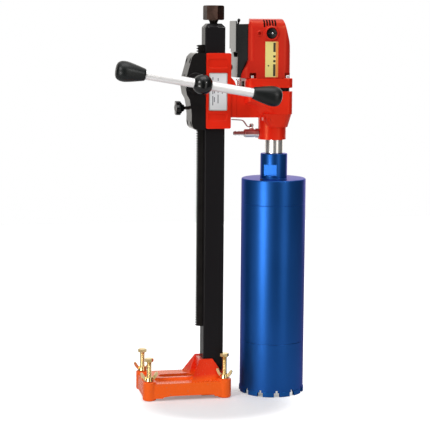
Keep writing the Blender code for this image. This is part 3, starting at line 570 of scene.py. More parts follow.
# ---- Carriage casting ---------------------------------------------------------------
# Red-enamelled aluminium casting round three sides of the column, with recessed panels
# between ribs and a web towards the drill's arm.
red = enamel("red_enamel", (0.84, 0.023, 0.009), 0.22, glint=warm)
car_low, car_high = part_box("carriage_casting")
wall_right, depth = 0.037, -car_low.y
carriage = solid("carriage", extrude(soft_box(car_low.x, wall_right, car_low.z, car_high.z, 0.004),
                                     -depth, depth, "Y"), red)
bay = 0.0281
machine(carriage, [brick((-0.06, bay), (-bay, bay), (0.6, 0.9))])
web = [(wall_right - 0.002, 0.792), (0.046, 0.781), (0.052, 0.766), (0.052, 0.692),
       (wall_right - 0.002, 0.692)]
machine(carriage, [extrude(web, -depth + 0.004, depth - 0.004, "Y")], "UNION")
panels = [(-0.019, 0.027, 0.812, 0.834), (-0.0190, 0.0290, 0.7070, 0.8020), (-0.019, 0.027, 0.684, 0.7015)]
machine(carriage, [extrude(soft_box(a, b, c, d, 0.003), -depth - 0.01, -depth + cut, "Y")
                   for (a, b, c, d), cut in zip(panels, (0.002, 0.0016, 0.002))])
machine(carriage, [extrude(soft_box(-0.019, 0.030, 0.684, 0.834, 0.006), depth - 0.002, depth + 0.01, "Y")])
ease(carriage, 0.0014, 3, 30)
fit(carriage, "carriage", "red_paint", "carriage_casting")


# ---- Feed gear housing --------------------------------------------------------------
# Black-enamelled iron casting clamped to the carriage by four socket screws.  It wraps
# the rack and carries the pinion shaft in a boss on each side.
gloss = enamel("black_gloss", (0.014, 0.013, 0.013), 0.14, (0.05, 0.045, 0.04), shine=0.10)
outline = [(-0.054, 0.845), (-0.060, 0.838), (-0.066, 0.815), (-0.0715, 0.795), (-0.075, 0.781),
           (-0.075, 0.766), (-0.072, 0.748), (-0.065, 0.736), (-0.061, 0.715), (-0.0595, 0.697),
           (-0.060, 0.680), (-0.0575, 0.669), (-0.052, 0.6635), (-0.046, 0.662), (-0.0253, 0.662),
           (-0.0253, 0.848), (-0.050, 0.848)]
reach = 0.035
housing = solid("feed_housing", extrude(outline, -reach, reach, "Y"), gloss)
machine(housing, [brick((-0.046, 0.0), (-0.012, 0.012), (0.6, 0.9))])
shaft_x, shaft_z = -0.052, 0.776
front_boss = [(0, 0), (0.0250, 0), (0.0250, -0.0112), (0.0238, -0.0124), (0, -0.0124)]
machine(housing, [spin([(r, -reach + 0.001 + h) for r, h in front_boss], (shaft_x, 0, shaft_z), "Y"),
                  spin([(0, reach - 0.001), (0.016, reach - 0.001), (0.016, 0.0412), (0.0152, 0.042),
                        (0, 0.042)], (shaft_x, 0, shaft_z), "Y")], "UNION")
machine(housing, [extrude(ring_of(shaft_x, shaft_z, 0.0083), -0.06, 0.06, "Y"),
                  brick((-0.0720, 0.0), (-0.012, 0.012), (0.757, 0.795)),
                  extrude(ring_of(0, 0.714, 0.0045), -0.09, -0.040, "X")])
heads = []
for z in (0.829, 0.676):
    for y in (-0.023, 0.023):
        heads.append((y, z))
machine(housing, [extrude(ring_of(y, z, 0.0066), -0.09, -0.0490, "X") for y, z in heads])
machine(housing, [extrude(ring_of(y, z, 0.0036), -0.06, -0.020, "X") for y, z in heads])
ease(housing, 0.0014, 3, 30)
fit(housing, "carriage", "black_paint", "gear_housing")

for number in range(1, 5):
    low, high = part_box("housing_screw_%d" % number)
    y, z = (low.y + high.y) / 2, (low.z + high.z) / 2
    turned = [(0, high.x), (0.0030, high.x), (0.0030, -0.0500), (0.0060, -0.0500), (0.0060, low.x + 0.0006),
              (0.0054, low.x), (0, low.x)]
    screw = solid("socket_screw_%d" % number, spin(turned, (0, y, z), "X", 32), dark_steel)
    machine(screw, [extrude(ring_of(y, z, 0.0029, 6), low.x - 0.01, low.x + 0.0036, "X")])
    ease(screw, 0.0002, 2, 40)
    fit(screw, "carriage", "dark_steel", "housing_screw_%d" % number)


# ---- Guide liners, shaft bushes and carriage plate ----------------------------------
# White nylon liners ride on the column, bronze bushes hold the pinion shaft, and a
# pale aluminium plate faces the front.
def moulded(name, colour, roughness=0.45, grain=700, depth=0.12, glint=(1, 1, 1), shine=0.36):
    """Moulded plastic: fine spark-eroded grain, faint colour drift, uneven gloss."""
    made, tree, skin = blank(name)
    skin["Specular IOR Level"].default_value = shine
    skin["Specular Tint"].default_value = (*glint, 1)
    drift = noise(tree, 22, 3)
    tree.links.new(blend(tree, drift, *shades(colour, 0.90, 1.08)), skin["Base Color"])
    gloss = spread(tree, drift, low=roughness - 0.07, high=roughness + 0.10)
    tree.links.new(gloss, skin["Roughness"])
    emboss(tree, noise(tree, grain, 2), depth, 0.0003)
    return made


nylon = moulded("nylon", (0.80, 0.79, 0.74), 0.42)
dress(nylon, "guide_liner_upper", "guide_liner_lower")
bronze = metal("bronze", (0.62, 0.40, 0.16), 0.30, (1, 30, 1), 70, 0.04)
dress(bronze, "feed_bush_front", "feed_bush_rear")
foil = moulded("white_foil", (0.84, 0.86, 0.88), 0.30, 500, 0.04)
foil_edge = metal("foil_edge", (0.62, 0.62, 0.60), 0.34, (1, 1, 20), 60, 0.03)
plate_low, plate_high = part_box("instruction_plate")
face = plate_low.y
plate = solid("carriage_plate", extrude(soft_box(plate_low.x, plate_high.x, plate_low.z, plate_high.z,
                                                 0.003),
                                        face + 0.0002, plate_high.y, "Y"), foil_edge)
ease(plate, 0.0002, 2, 40)
fit(plate, "carriage", "white_plate", "instruction_plate")
margin = 0.0024
panel = solid("carriage_plate_field",
              extrude(soft_box(plate_low.x + margin, plate_high.x - margin, plate_low.z + margin,
                               plate_high.z - margin, 0.002), face + 0.00005, face + 0.0003, "Y"), foil)
ease(panel, 0)
fit(panel, "carriage", "white_plate")
ink = moulded("grey_ink", (0.20, 0.20, 0.23), 0.4, 400, 0.05)
marks = bmesh.new()
for x, runs in ((-0.0085, ((0.722, 0.745), (0.749, 0.766), (0.783, 0.790))),
                (-0.0045, ((0.730, 0.742), (0.751, 0.757))),
                (0.0045, ((0.727, 0.748), (0.752, 0.762), (0.781, 0.788))), (0.0150, ((0.750, 0.764),))):
    for low, high in runs:
        strip = brick((x - 0.0011, x + 0.0011), (face, face + 0.0001), (low, high))
        mesh = bpy.data.meshes.new("strip")
        strip.to_mesh(mesh)
        strip.free()
        marks.from_mesh(mesh)
        bpy.data.meshes.remove(mesh)
marks = solid("carriage_plate_marks", marks, ink)
fit(marks, "carriage", "white_plate")


# ---- Feed handle --------------------------------------------------------------------
# A steel pinion shaft ends in a black ball hub; a bright aluminium bar passes through
# the ball and carries a moulded grip at each end.  Turning it drives the rack.
bright = metal("bright_steel", (0.80, 0.80, 0.81), 0.20, (1, 1, 30), 50, 0.03)
collar = [(0, -0.049), (0.0128, -0.049), (0.0138, -0.0500), (0.0138, -0.0560), (0.0128, -0.0568),
          (0.0128, -0.0600), (0.0134, -0.0606), (0.0134, -0.1070), (0.0125, -0.1085), (0, -0.1085)]
sleeve = solid("feed_sleeve", spin([(r, y) for r, y in collar], (shaft_x, 0, shaft_z), "Y"), dark_steel)
ease(sleeve, 0.0002, 2, 40)
fit(sleeve, "feed_handle", "dark_steel")
dress(dark_steel, "pinion_shaft")

plastic = moulded("polished_plastic", (0.005, 0.006, 0.006), 0.13, 500, 0.002)
hub_y, ball = -0.130, 0.0243
half_turn = [math.pi * i / 32 for i in range(1, 32)]
bulb = [(0, -ball)] + [(ball * math.sin(t), -ball * math.cos(t)) for t in half_turn] + [(0, ball)]
hub = solid("ball_hub", spin(bulb, (shaft_x, hub_y, shaft_z)), plastic)
machine(hub, [brick((-0.1, 0), (-0.1092, 0.0), (0.7, 0.85))])
bar_tilt = math.radians(9.4)


def along_bar(shape):
    """Put a shape made along X on the handle bar's slope, through the ball's middle."""
    return swing(shape, (shaft_x, hub_y, shaft_z), bar_tilt, "Y")


bore = [(0, -0.03), (0.0112, -0.03), (0.0112, 0.03), (0, 0.03)]
machine(hub, [along_bar(spin(bore, (0, 0, 0), "X", 40))])
ease(hub, 0.0005, 2, 40)
fit(hub, "feed_handle", "black_plastic", "handle_hub")
satin = metal("satin_aluminium", (0.95, 0.94, 0.94), 0.36, (30, 1, 1), 50, 0.01, (0.88, 0.87, 0.87),
              metallic=0.45)
rod = [(0, -0.189), (0.0100, -0.189), (0.0109, -0.188), (0.0109, 0.175), (0.0100, 0.176), (0, 0.176)]
bar = solid("feed_bar", along_bar(spin(rod, (0, 0, 0), "X", 40)), satin)
ease(bar, 0)
fit(bar, "feed_handle", "bright_steel", "handle_bar")
grip_black = moulded("grip_bakelite", (0.004, 0.0055, 0.0055), 0.34, 500, 0.006, shine=0.30)
grip_profile = [(0.0112, 0), (0.0126, 0), (0.0138, 0.0006), (0.0146, 0.0024), (0.0158, 0.0070),
                (0.0174, 0.0136), (0.0192, 0.0210), (0.0208, 0.0280), (0.0222, 0.0345), (0.0234, 0.0405),
                (0.02415, 0.0460), (0.0243, 0.0500), (0.0240, 0.0545), (0.0230, 0.0595),
                (0.0210, 0.0638), (0.0180, 0.0672), (0.0135, 0.0693), (0.0070, 0.0703), (0, 0.0705),
                (0, 0.0580), (0.0112, 0.0580)]
for name, start, way in (("grip_left", -0.138, -1), ("grip_right", 0.123, 1)):
    shape = spin([(r, start + way * h) for r, h in grip_profile], (0, 0, 0), "X", 56)
    grip = solid(name + "_skin", along_bar(shape), grip_black)
    ease(grip, 0)
    fit(grip, "feed_handle", "black_plastic", name)


# ---- Locking knob -------------------------------------------------------------------
# Six-lobed black moulded knob on a threaded stem through the feed housing; it clamps
# the carriage to the column.
knob_z = 0.714
lobes = []
rim_steps = 96
for i in range(rim_steps):
    turn = 2 * math.pi * i / rim_steps
    reach = 0.0169 + 0.0019 * math.cos(6 * turn)
    lobes.append((reach * math.cos(turn), knob_z + reach * math.sin(turn)))
knob = solid("clamp_knob", extrude(lobes, -0.0938, -0.0822, "X"), plastic)
ease(knob, 0.0016, 4, 30)
skirt = [(0, -0.0830), (0.0148, -0.0830), (0.0140, -0.0800), (0.0120, -0.0785), (0.0092, -0.0770),
         (0.0080, -0.0735), (0.0074, -0.0728), (0, -0.0728)]
machine(knob, [spin(skirt, (0, 0, knob_z), "X", 40)], "UNION")
machine(knob, [spin([(0, -0.0950), (0.0090, -0.0950), (0.0082, -0.0928), (0, -0.0928)], (0, 0, knob_z),
                    "X", 40)])
ease(knob, 0)
fit(knob, "lock_knob", "black_plastic", "lock_knob")
stem = [(0, -0.0735), (0.0034, -0.0735), (0.0040, -0.0725), (0.0040, -0.0480), (0.0034, -0.0472),
        (0, -0.0472)]
stud = solid("clamp_stud", spin(stem, (0, 0, knob_z), "X", 28), dark_steel)
ease(stud, 0)
fit(stud, "lock_knob", "black_plastic")


# ---- Gearbox casting ----------------------------------------------------------------
# Red-enamelled aluminium casting.  A slim arm bolts to the carriage and swells into the
# gear case, which narrows below to a round nose around the spindle.
case_low, case_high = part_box("gearbox_housing")
split, floor_z, half, arm_half = 0.7557, 0.700, 0.050, 0.033
right = case_high.x
case = solid("gear_case", extrude(soft_box(0.074, right, -half, half, 0.014), floor_z, split), red)
lower_rim = [(0.070, 0.698), (0.070, 0.7255), (0.082, 0.7225), (0.092, 0.7165), (0.102, 0.7095),
             (0.110, 0.7025), (0.113, 0.698)]
upper_rim = [(0.070, 0.698), (0.070, 0.7370), (0.090, 0.7325), (0.112, 0.7260), (0.1330, 0.7175),
             (0.1460, 0.7070), (0.1520, 0.698)]


def blend_cut(side):
    """Tool between the arm's face and the case's face, hollowed to a soft curve."""
    shape = bmesh.new()
    rings = []
    for share, lead in ((0.0, 0.0), (0.45, 0.30), (0.80, 0.66), (1.0, 1.0)):
        depth = side * (arm_half + share * (half + 0.0005 - arm_half))
        rings.append([shape.verts.new((a + (c - a) * lead, depth, b + (d - b) * lead))
                      for (a, b), (c, d) in zip(lower_rim, upper_rim)])
    shape.faces.new(rings[0])
    shape.faces.new(rings[-1])
    for one, two in zip(rings, rings[1:]):
        for i in range(len(one)):
            j = (i + 1) % len(one)
            shape.faces.new((one[i], one[j], two[j], two[i]))
    return shape


machine(case, [blend_cut(-1), blend_cut(1)])
bulge = loft(soft_box(0.132, 0.1842, -0.037, 0.037, 0.020, 8),
             soft_box(0.112, right, -half, half, 0.020, 8), 0.667, floor_z + 0.0005)
nose_low = case_low.z
nose = extrude(soft_box(0.1155, 0.1840, -0.030, 0.030, 0.028, 10), nose_low, floor_z + 0.001)
arm = extrude([(0.0523, 0.6915), (0.122, 0.6915), (0.122, 0.740), (0.112, 0.740), (0.090, 0.7550),
               (0.0736, 0.7550), (0.0736, 0.7655), (0.0523, 0.7655)], -arm_half, arm_half, "Y")
machine(case, [bulge, nose, arm], "UNION")
fins = [extrude([(x - 0.0018, 0.7020), (x - 0.0018, 0.6845), (x + 0.0018, 0.6845), (x + 0.0018, 0.7020)],
                -reach, -0.024, "Y") for x, reach in ((0.1190, 0.0420), (0.1305, 0.0470))]
machine(case, fins, "UNION")
bore_x = 0.1553
machine(case, [extrude(ring_of(bore_x, 0, 0.019), 0.60, 0.68),
               extrude(ring_of(0.0588, -0.024, 0.0044), 0.75, 0.80)])
ease(case, 0.0018, 4, 26)
fit(case, "carriage", "red_paint", "gearbox_housing")


# ---- Gear plate and motor flange ----------------------------------------------------
# A black die-cast plate closes the gears; the motor's red flange sits on it and is held
# by four bright socket screws.
plate_low, plate_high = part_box("gear_plate")
plate = solid("gear_cover", extrude(soft_box(plate_low.x, plate_high.x, -0.045, 0.045, 0.012),
                                    plate_low.z, plate_high.z), black)
motor_x, idler_x, idler_y = 0.13805, 0.12379, 0.01741
machine(plate, [extrude(ring_of(motor_x, 0, 0.009), 0.7, 0.8),
                extrude(ring_of(idler_x, idler_y, 0.0053), 0.7, 0.8)])
ease(plate, 0.0008, 3, 40)
fit(plate, "carriage", "black_paint", "gear_plate")
flange_low, flange_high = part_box("motor_flange")
flange = solid("flange", extrude(soft_box(flange_low.x, flange_high.x, -half, half, 0.014),
                                 flange_low.z, flange_high.z), red)
machine(flange, [extrude(ring_of(motor_x, 0, 0.0132), 0.7, 0.8)])
ease(flange, 0.0020, 4, 40)
fit(flange, "carriage", "red_paint", "motor_flange")


# ---- Motor cover --------------------------------------------------------------------
# Glass-filled nylon moulding, red throughout, with a crowned top, five vent slots, a
# raised collar round each brush cap and a pocket over each flange screw.
cover_red = moulded("red_nylon", (0.64, 0.024, 0.014), 0.20, 600, 0.004, warm)
front = [(0.061, 0.7882), (0.061, 0.794), (0.066, 0.806), (0.073, 0.818), (0.0785, 0.831), (0.0785, 0.920),
         (0.083, 0.9316), (0.164, 0.9316), (0.1684, 0.9166), (0.1724, 0.903), (0.1758, 0.891),
         (0.1796, 0.878), (0.1820, 0.866), (0.1836, 0.850), (0.1846, 0.826), (0.1848, 0.806),
         (0.1848, 0.7882)]
side = [(-0.050, 0.780), (-0.050, 0.903), (-0.0495, 0.910), (-0.048, 0.917), (-0.0453, 0.9225),
        (-0.041, 0.927), (-0.034, 0.9303), (-0.024, 0.9315), (-0.008, 0.9312), (0.010, 0.9288),
        (0.026, 0.9242), (0.038, 0.9175), (0.046, 0.909), (0.050, 0.897), (0.050, 0.780)]
motor = solid("motor_cover", extrude(front, -half, half, "Y"), cover_red)
machine(motor, [extrude(side, 0.04, 0.22, "X")], "INTERSECT")
machine(motor, [extrude(soft_box(0.061, 0.1848, -half, half, 0.020, 12), 0.7, 1.0)], "INTERSECT")
for way in (-1, 1):
    corner = [(0.0770, way * 0.0520), (0.0915, way * 0.0520)]
    for i in range(11):
        turn = math.radians(90 + 9 * i)
        corner.append((0.0915 + 0.013 * math.cos(turn), way * (0.037 + 0.013 * math.sin(turn))))
    corner.append((0.0770, way * 0.0370))
    machine(motor, [extrude(corner, 0.8290, 0.95)])
machine(motor, [extrude([(0.070, -0.041), (0.0795, -0.041), (0.0985, 0.052), (0.070, 0.052)], 0.9185,
                        0.95)])
brush_x, brush_z = 0.1335, 0.896
ring = [(0.0134, 0.040), (0.0134, 0.0530), (0.0142, 0.0542), (0.0160, 0.0542), (0.0176, 0.0528),
        (0.0186, 0.0500), (0.0190, 0.040)]
vents, vent_wide = [0.1137 + 0.0069 * i for i in range(5)], 0.0042
tools = [extrude(ring_of(brush_x, brush_z, 0.0137, 40), way * 0.042, way * 0.06, "Y") for way in (-1, 1)]
for i, x in enumerate(vents):
    tools.append(brick((x, x + vent_wide), (-0.06, -0.036), (0.9110 if i == 0 else 0.9135, 0.9285)))
    tools.append(brick((x, x + vent_wide), (0.034, 0.06), (0.902, 0.917)))
tools.append(brick((0.1180, 0.1506), (-0.06, -half + 0.0006), (0.7902, 0.8764)))
screws = [(0.088, 0.040), (0.088, -0.040), (0.176, 0.040), (0.176, -0.040)]
for x, y in screws:
    near, far = sorted((y - math.copysign(0.0085, y), math.copysign(0.06, y)))
    tools.append(brick((x - 0.0085, x + 0.0085), (near, far), (0.78, 0.8005)))
machine(motor, tools)
boss_x, boss_z = 0.1035, 0.8955
machine(motor, [spin([(r, way * y) for r, y in ring], (brush_x, 0, brush_z), "Y", 40) for way in (-1, 1)]
        + [spin([(0, -0.040), (0.0068, -0.040), (0.0068, -0.0508), (0.0060, -0.0516), (0, -0.0516)],
                (boss_x, 0, boss_z), "Y", 28)], "UNION")
machine(motor, [extrude(ring_of(boss_x, boss_z, 0.0042, 24), -0.06, -0.046, "Y")])
ease(motor, 0.0016, 3, 34)
fit(motor, "carriage", "motor_cover", "motor_housing")

# Near-black sheets set in each vent slot, front and rear, are painted shade for the dark depth of the
# slots; the same black is the switch latch's own colour.
black_latch_and_vent_shade = moulded("black_latch_and_vent_shade", (0.002, 0.002, 0.002), 0.8, 300, 0.05, shine=0.1)
for i, x in enumerate(vents):
    low = 0.9112 if i == 0 else 0.9137
    sides = x + 0.00005, x + vent_wide - 0.00005
    front_vent_shade_sheet = extrude([(-0.0466, low), (-0.0455, 0.9195), (-0.0430, 0.9235), (-0.0395, 0.9265),
                      (-0.0362, 0.9280), (-0.0362, low)], *sides, "X")
    rear_vent_shade_sheet = brick(sides, (0.0345, 0.0380), (0.9025, 0.9165))
    for name, shape in (("vent_front_shade_%d", front_vent_shade_sheet), ("vent_rear_shade_%d", rear_vent_shade_sheet)):
        piece = solid(name % (i + 1), shape, black_latch_and_vent_shade)
        fit(piece, "carriage", "motor_cover")

for name, way in (("brush_cap_front", -1), ("brush_cap_rear", 1)):
    profile = [(0, 0.0420), (0.0129, 0.0420), (0.0129, 0.0512), (0.0119, 0.0524), (0.0062, 0.0526),
               (0.0056, 0.0520), (0.0056, 0.0492), (0, 0.0492)]
    cap = solid(name + "_skin", spin([(r, way * y) for r, y in profile], (brush_x, 0, brush_z), "Y",
                                     40), plastic)
    slot_near, slot_far = sorted((way * 0.0505, way * 0.055))
    machine(cap, [brick((brush_x - 0.0100, brush_x + 0.0100), (slot_near, slot_far),
                        (brush_z - 0.0011, brush_z + 0.0011))])
    ease(cap, 0.0003, 2, 40)
    fit(cap, "carriage", "black_plastic", name)
    pin = solid(name + "_pin", spin([(0, way * 0.0485), (0.0026, way * 0.0485), (0.0026, way * 0.0510),
                                     (0.0020, way * 0.0516), (0, way * 0.0518)],
                                    (brush_x + 0.0022, 0, brush_z), "Y", 24), bright)
    ease(pin, 0)
    fit(pin, "carriage", "black_plastic")

yellow = moulded("yellow_foil", (0.86, 0.74, 0.26), 0.32, 500, 0.04)
plate_low, plate_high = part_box("data_plate")
field = solid("motor_plate", extrude(soft_box(plate_low.x, plate_high.x, plate_low.z, plate_high.z, 0.0015),
                                     plate_low.y + 0.0003, plate_high.y, "Y"), yellow)
ease(field, 0.0001, 2, 40)
fit(field, "carriage", "yellow_plate", "data_plate")
band = moulded("orange_ink", (0.86, 0.30, 0.06), 0.34, 500, 0.04)
bar_ink = moulded("black_ink", (0.05, 0.035, 0.02), 0.34, 500, 0.04)
ink_face = plate_low.y + 0.0002
stripe = solid("motor_plate_band", brick((0.1444, 0.1500), (ink_face, ink_face + 0.0002),
                                         (0.7912, 0.8755)), band)
fit(stripe, "carriage", "yellow_plate")
for number, (low, high) in enumerate(((0.8510, 0.8735), (0.8378, 0.8430), (0.8262, 0.8318),
                                      (0.7925, 0.8215)), 1):
    block = solid("motor_plate_bar_%d" % number, brick((0.1380, 0.1438), (ink_face, ink_face + 0.0002),
                                                       (low, high)),
                  bar_ink)
    fit(block, "carriage", "yellow_plate")
dot = solid("motor_plate_dot", extrude(ring_of(0.1262, 0.8180, 0.0019, 20), ink_face, ink_face + 0.0002,
                                       "Y"), bar_ink)
fit(dot, "carriage", "yellow_plate")

for number in range(1, 5):
    low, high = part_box("motor_screw_%d" % number)
    x, y, top = (low.x + high.x) / 2, (low.y + high.y) / 2, high.z
    profile = [(0, low.z), (0.003, low.z), (0.003, 0.7879), (0.0065, 0.7879), (0.0065, top - 0.0008),
               (0.0057, top), (0, top)]
    screw = solid("cover_screw_%d" % number, spin(profile, (x, y, 0), steps=32), bright)
    machine(screw, [extrude(ring_of(x, y, 0.0031, 6), top - 0.0035, top + 0.01)])
    ease(screw, 0.0002, 2, 40)
    fit(screw, "carriage", "bright_steel", "motor_screw_%d" % number)


# ---- Arm screw ----------------------------------------------------------------------
# Plated screw with a wide flat head that clamps the arm to the carriage, and a short
# blackened dowel beside it.
chrome = metal("plated_brass", (0.88, 0.88, 0.88), 0.09, (1, 1, 1), 40, 0.02)
low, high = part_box("arm_bolt")
x, y = (low.x + high.x) / 2, (low.y + high.y) / 2
profile = [(0, low.z), (0.004, low.z), (0.004, 0.7659), (0.0061, 0.7659), (0.0061, 0.7676),
           (0.0038, 0.7682), (0.0038, 0.7815), (0.0062, 0.7822), (0.0065, 0.7828), (0.0065, 0.7846),
           (0.0060, 0.7852), (0, 0.7852)]
bolt = solid("arm_screw", spin(profile, (x, y, 0), steps=36), chrome)
ease(bolt, 0.0002, 2, 40)
fit(bolt, "carriage", "bright_steel", "arm_bolt")
dowel = solid("arm_dowel", spin([(0, 0.7659), (0.0034, 0.7659), (0.0034, 0.7790), (0.0026, 0.7800),
                                 (0, 0.7800)],
                                (0.0690, -0.024, 0), steps=28), dark_steel)
ease(dowel, 0.0002, 2, 40)
fit(dowel, "carriage", "dark_steel")


# ---- Switch box ---------------------------------------------------------------------
# Gloss black moulded box behind the motor, with a side cover, a toggle on top, a small
# latch and a cable gland at the rear; no cable is fitted.
shell = moulded("switch_shell", (0.005, 0.0065, 0.007), 0.18, 700, 0.003)
shell_skin = shell.node_tree.nodes["Principled BSDF"].inputs
shell_skin["Coat Weight"].default_value = 0.6
shell_skin["Coat Roughness"].default_value = 0.15
profile = [(0.0519, 0.789), (0.0604, 0.789), (0.0604, 0.794), (0.0653, 0.8062), (0.0723, 0.8182),
           (0.0779, 0.831), (0.0779, 0.918), (0.0512, 0.918), (0.0512, 0.850), (0.0532, 0.849)]
toggle_x, gland_x, gland_z = 0.0605, 0.057, 0.812
box = solid("switch_body", extrude(profile, -0.036, 0.036, "Y"), shell)
machine(box, [extrude(ring_of(toggle_x, 0, 0.005), 0.910, 0.93),
              extrude(ring_of(gland_x, gland_z, 0.0063), 0.030, 0.05, "Y")])
ease(box, 0.0012, 3, 30)
fit(box, "carriage", "black_plastic", "switch_box")
cover = solid("switch_side_cover", extrude(soft_box(-0.036, 0.036, 0.851, 0.926, 0.004), 0.0478, 0.0509,
                                           "X"), shell)
machine(cover, [brick((0.04, 0.06), (0.020, 0.040), (0.840, 0.858))])
ease(cover, 0.0008, 3, 30)
fit(cover, "carriage", "black_plastic", "switch_cover")
latch = solid("switch_latch", extrude([(0.0500, 0.8385), (0.0531, 0.8385), (0.0531, 0.8492),
                                       (0.0511, 0.8500), (0.0511, 0.8506), (0.0484, 0.8506),
                                       (0.0484, 0.8470)],
                                      -0.020, -0.008, "Y"), black_latch_and_vent_shade)
ease(latch, 0.0004, 2, 40)
fit(latch, "carriage", "black_plastic")
profile = [(0.0042, 0.056), (0.0066, 0.056), (0.0070, 0.0555), (0.0088, 0.0522), (0.0090, 0.0515),
           (0.0090, 0.0366), (0.0086, 0.0363), (0.006, 0.0363), (0.006, 0.031), (0, 0.031), (0, 0.034),
           (0.0042, 0.034)]
gland = solid("gland", spin(profile, (gland_x, 0, gland_z), "Y", 36), shell)
notches = []
for i in range(10):
    turn = 2 * math.pi * i / 10
    notches.append(extrude(ring_of(gland_x + 0.0096 * math.cos(turn), gland_z + 0.0096 * math.sin(turn),
                                   0.0012, 10),
                           0.038, 0.050, "Y"))
machine(gland, notches)
ease(gland, 0)
fit(gland, "carriage", "black_plastic", "cable_gland")
toggle_shape = spin([(0, -0.003), (0.0022, -0.003), (0.0022, 0.0095), (0.0030, 0.0115), (0.0036, 0.0135),
                     (0.0037, 0.0153), (0.0033, 0.0172), (0.0022, 0.0184), (0, 0.0189)], (0, 0, 0),
                    steps=32)
toggle_lean = math.radians(10)
toggle = solid("toggle", swing(toggle_shape, (toggle_x, 0, 0.913), toggle_lean, "Y"), plastic)
ease(toggle, 0)
fit(toggle, "toggle_lever", "black_plastic", "toggle_lever")


# ---- Water valve --------------------------------------------------------------------
# Plated brass ball valve screwed into the nose: wrench hexagon, round body, a barbed
# hose tail, and a bent strip lever held by a nut.  Its upper half is painted red: a painted
# reflection of the casting above it, which the plating would mirror.
valve_z, stem_x = 0.651, 0.0975
# Both red colours here are a painted reflection of the casting above; the mask below turns the lower half
# to plain plating.
chrome_with_painted_reflection = metal("chrome_painted_red_reflection", (0.50, 0.13, 0.12), 0.14, (1, 1, 1), 40, 0.02, (0.30, 0.06, 0.06),
             metallic=0.5)
tree, plating = chrome_with_painted_reflection.node_tree, chrome_with_painted_reflection.node_tree.nodes["Principled BSDF"].inputs["Base Color"]
lower_half = spread(tree, height(tree), valve_z - 0.0012, valve_z - 0.0036)
plain_plating = (0.86, 0.88, 0.88)
tree.links.new(blend(tree, lower_half, plating.links[0].from_socket, plain_plating), plating)
tail = [(0, 0.130), (0.0064, 0.130), (0.0064, 0.1147), (0.0098, 0.1147), (0.0098, 0.1070), (0.0092, 0.1066),
        (0.0092, 0.1052), (0.0100, 0.1046), (0.0102, 0.1040), (0.0102, 0.0812), (0.0097, 0.0800),
        (0.0075, 0.0780), (0.0048, 0.0768), (0.0044, 0.0755)]
for tip in (0.0680, 0.0610, 0.0516):
    tail += [(0.0043, tip + 0.0072), (0.0055, tip + 0.0066), (0.0055, tip + 0.0054), (0.0044, tip + 0.0008)]
tail += [(0.0036, 0.0517), (0.0026, 0.0517), (0.0026, 0.070), (0, 0.070)]
valve = solid("valve", spin(tail, (0, 0, valve_z), "X", 40), chrome_with_painted_reflection)
hexagon = extrude(ring_of(0, valve_z, 0.0113, 6, math.radians(30)), 0.1074, 0.1144, "X")
machine(valve, [hexagon, spin([(0, 0), (0.0054, 0), (0.0054, 0.0119), (0.0049, 0.0124), (0, 0.0124)],
                              (stem_x, 0, valve_z), steps=36)], "UNION")
machine(valve, [extrude(ring_of(stem_x, 0, 0.0033), valve_z + 0.006, valve_z + 0.02)])
ease(valve, 0.0002, 2, 40)
fit(valve, "carriage", "chrome", "valve_body")
stem = [(0, 0.0070), (0.0030, 0.0070), (0.0030, 0.0135), (0.0046, 0.0135), (0.0046, 0.0165),
        (0.0034, 0.0165), (0.0034, 0.0236), (0.0030, 0.0240), (0, 0.0240)]
spindle_nut = solid("valve_stem", spin(stem, (stem_x, 0, valve_z), steps=32), chrome)
machine(spindle_nut, [extrude(ring_of(stem_x, 0, 0.0052, 6), valve_z + 0.0168, valve_z + 0.0220)], "UNION")
ease(spindle_nut, 0.0002, 2, 40)
fit(spindle_nut, "valve_lever", "chrome", "valve_lever")
lever_red = enamel("dipped_lever", (0.30, 0.012, 0.018), 0.20)
path = [(0.0024, 0.0157), (-0.0060, 0.0157), (-0.0095, 0.0163), (-0.0125, 0.0186), (-0.0150, 0.0220),
        (-0.0178, 0.0262), (-0.0205, 0.0297), (-0.0238, 0.0318), (-0.0275, 0.0326), (-0.0400, 0.0334),
        (-0.0505, 0.0340)]
thick = 0.0011
upper, lower = [], []
for i, (a, b) in enumerate(path):
    before, after = path[max(i - 1, 0)], path[min(i + 1, len(path) - 1)]
    run, rise = after[0] - before[0], after[1] - before[1]
    long = math.hypot(run, rise)
    upper.append((stem_x + a - rise / long * thick, valve_z + b + run / long * thick))
    lower.append((stem_x + a + rise / long * thick, valve_z + b - run / long * thick))
blade = solid("valve_blade", extrude(upper + lower[::-1], -0.0044, 0.0044, "Y"), lever_red)
machine(blade, [extrude(ring_of(stem_x, 0, 0.0036), 0.6, 0.7)])
ease(blade, 0.0005, 3, 40)
fit(blade, "valve_lever", "chrome")


# ---- Parts inside the machine -------------------------------------------------------
# Gears, bearings, winding and seal keep the frame's shapes and only take a finish: bright
# steel, copper wire and dark rubber.
copper = metal("copper_winding", (0.62, 0.28, 0.13), 0.34, (1, 1, 60), 90, 0.10)
dress(copper, "stator")
dress(bright, "armature_bearing_lower", "armature_bearing_upper", "spindle_bearing_lower",
      "spindle_bearing_upper", "intermediate_gear", "spindle_wheel")
rubber = moulded("seal_rubber", (0.03, 0.03, 0.03), 0.6, 400, 0.1)
dress(rubber, "water_seal")


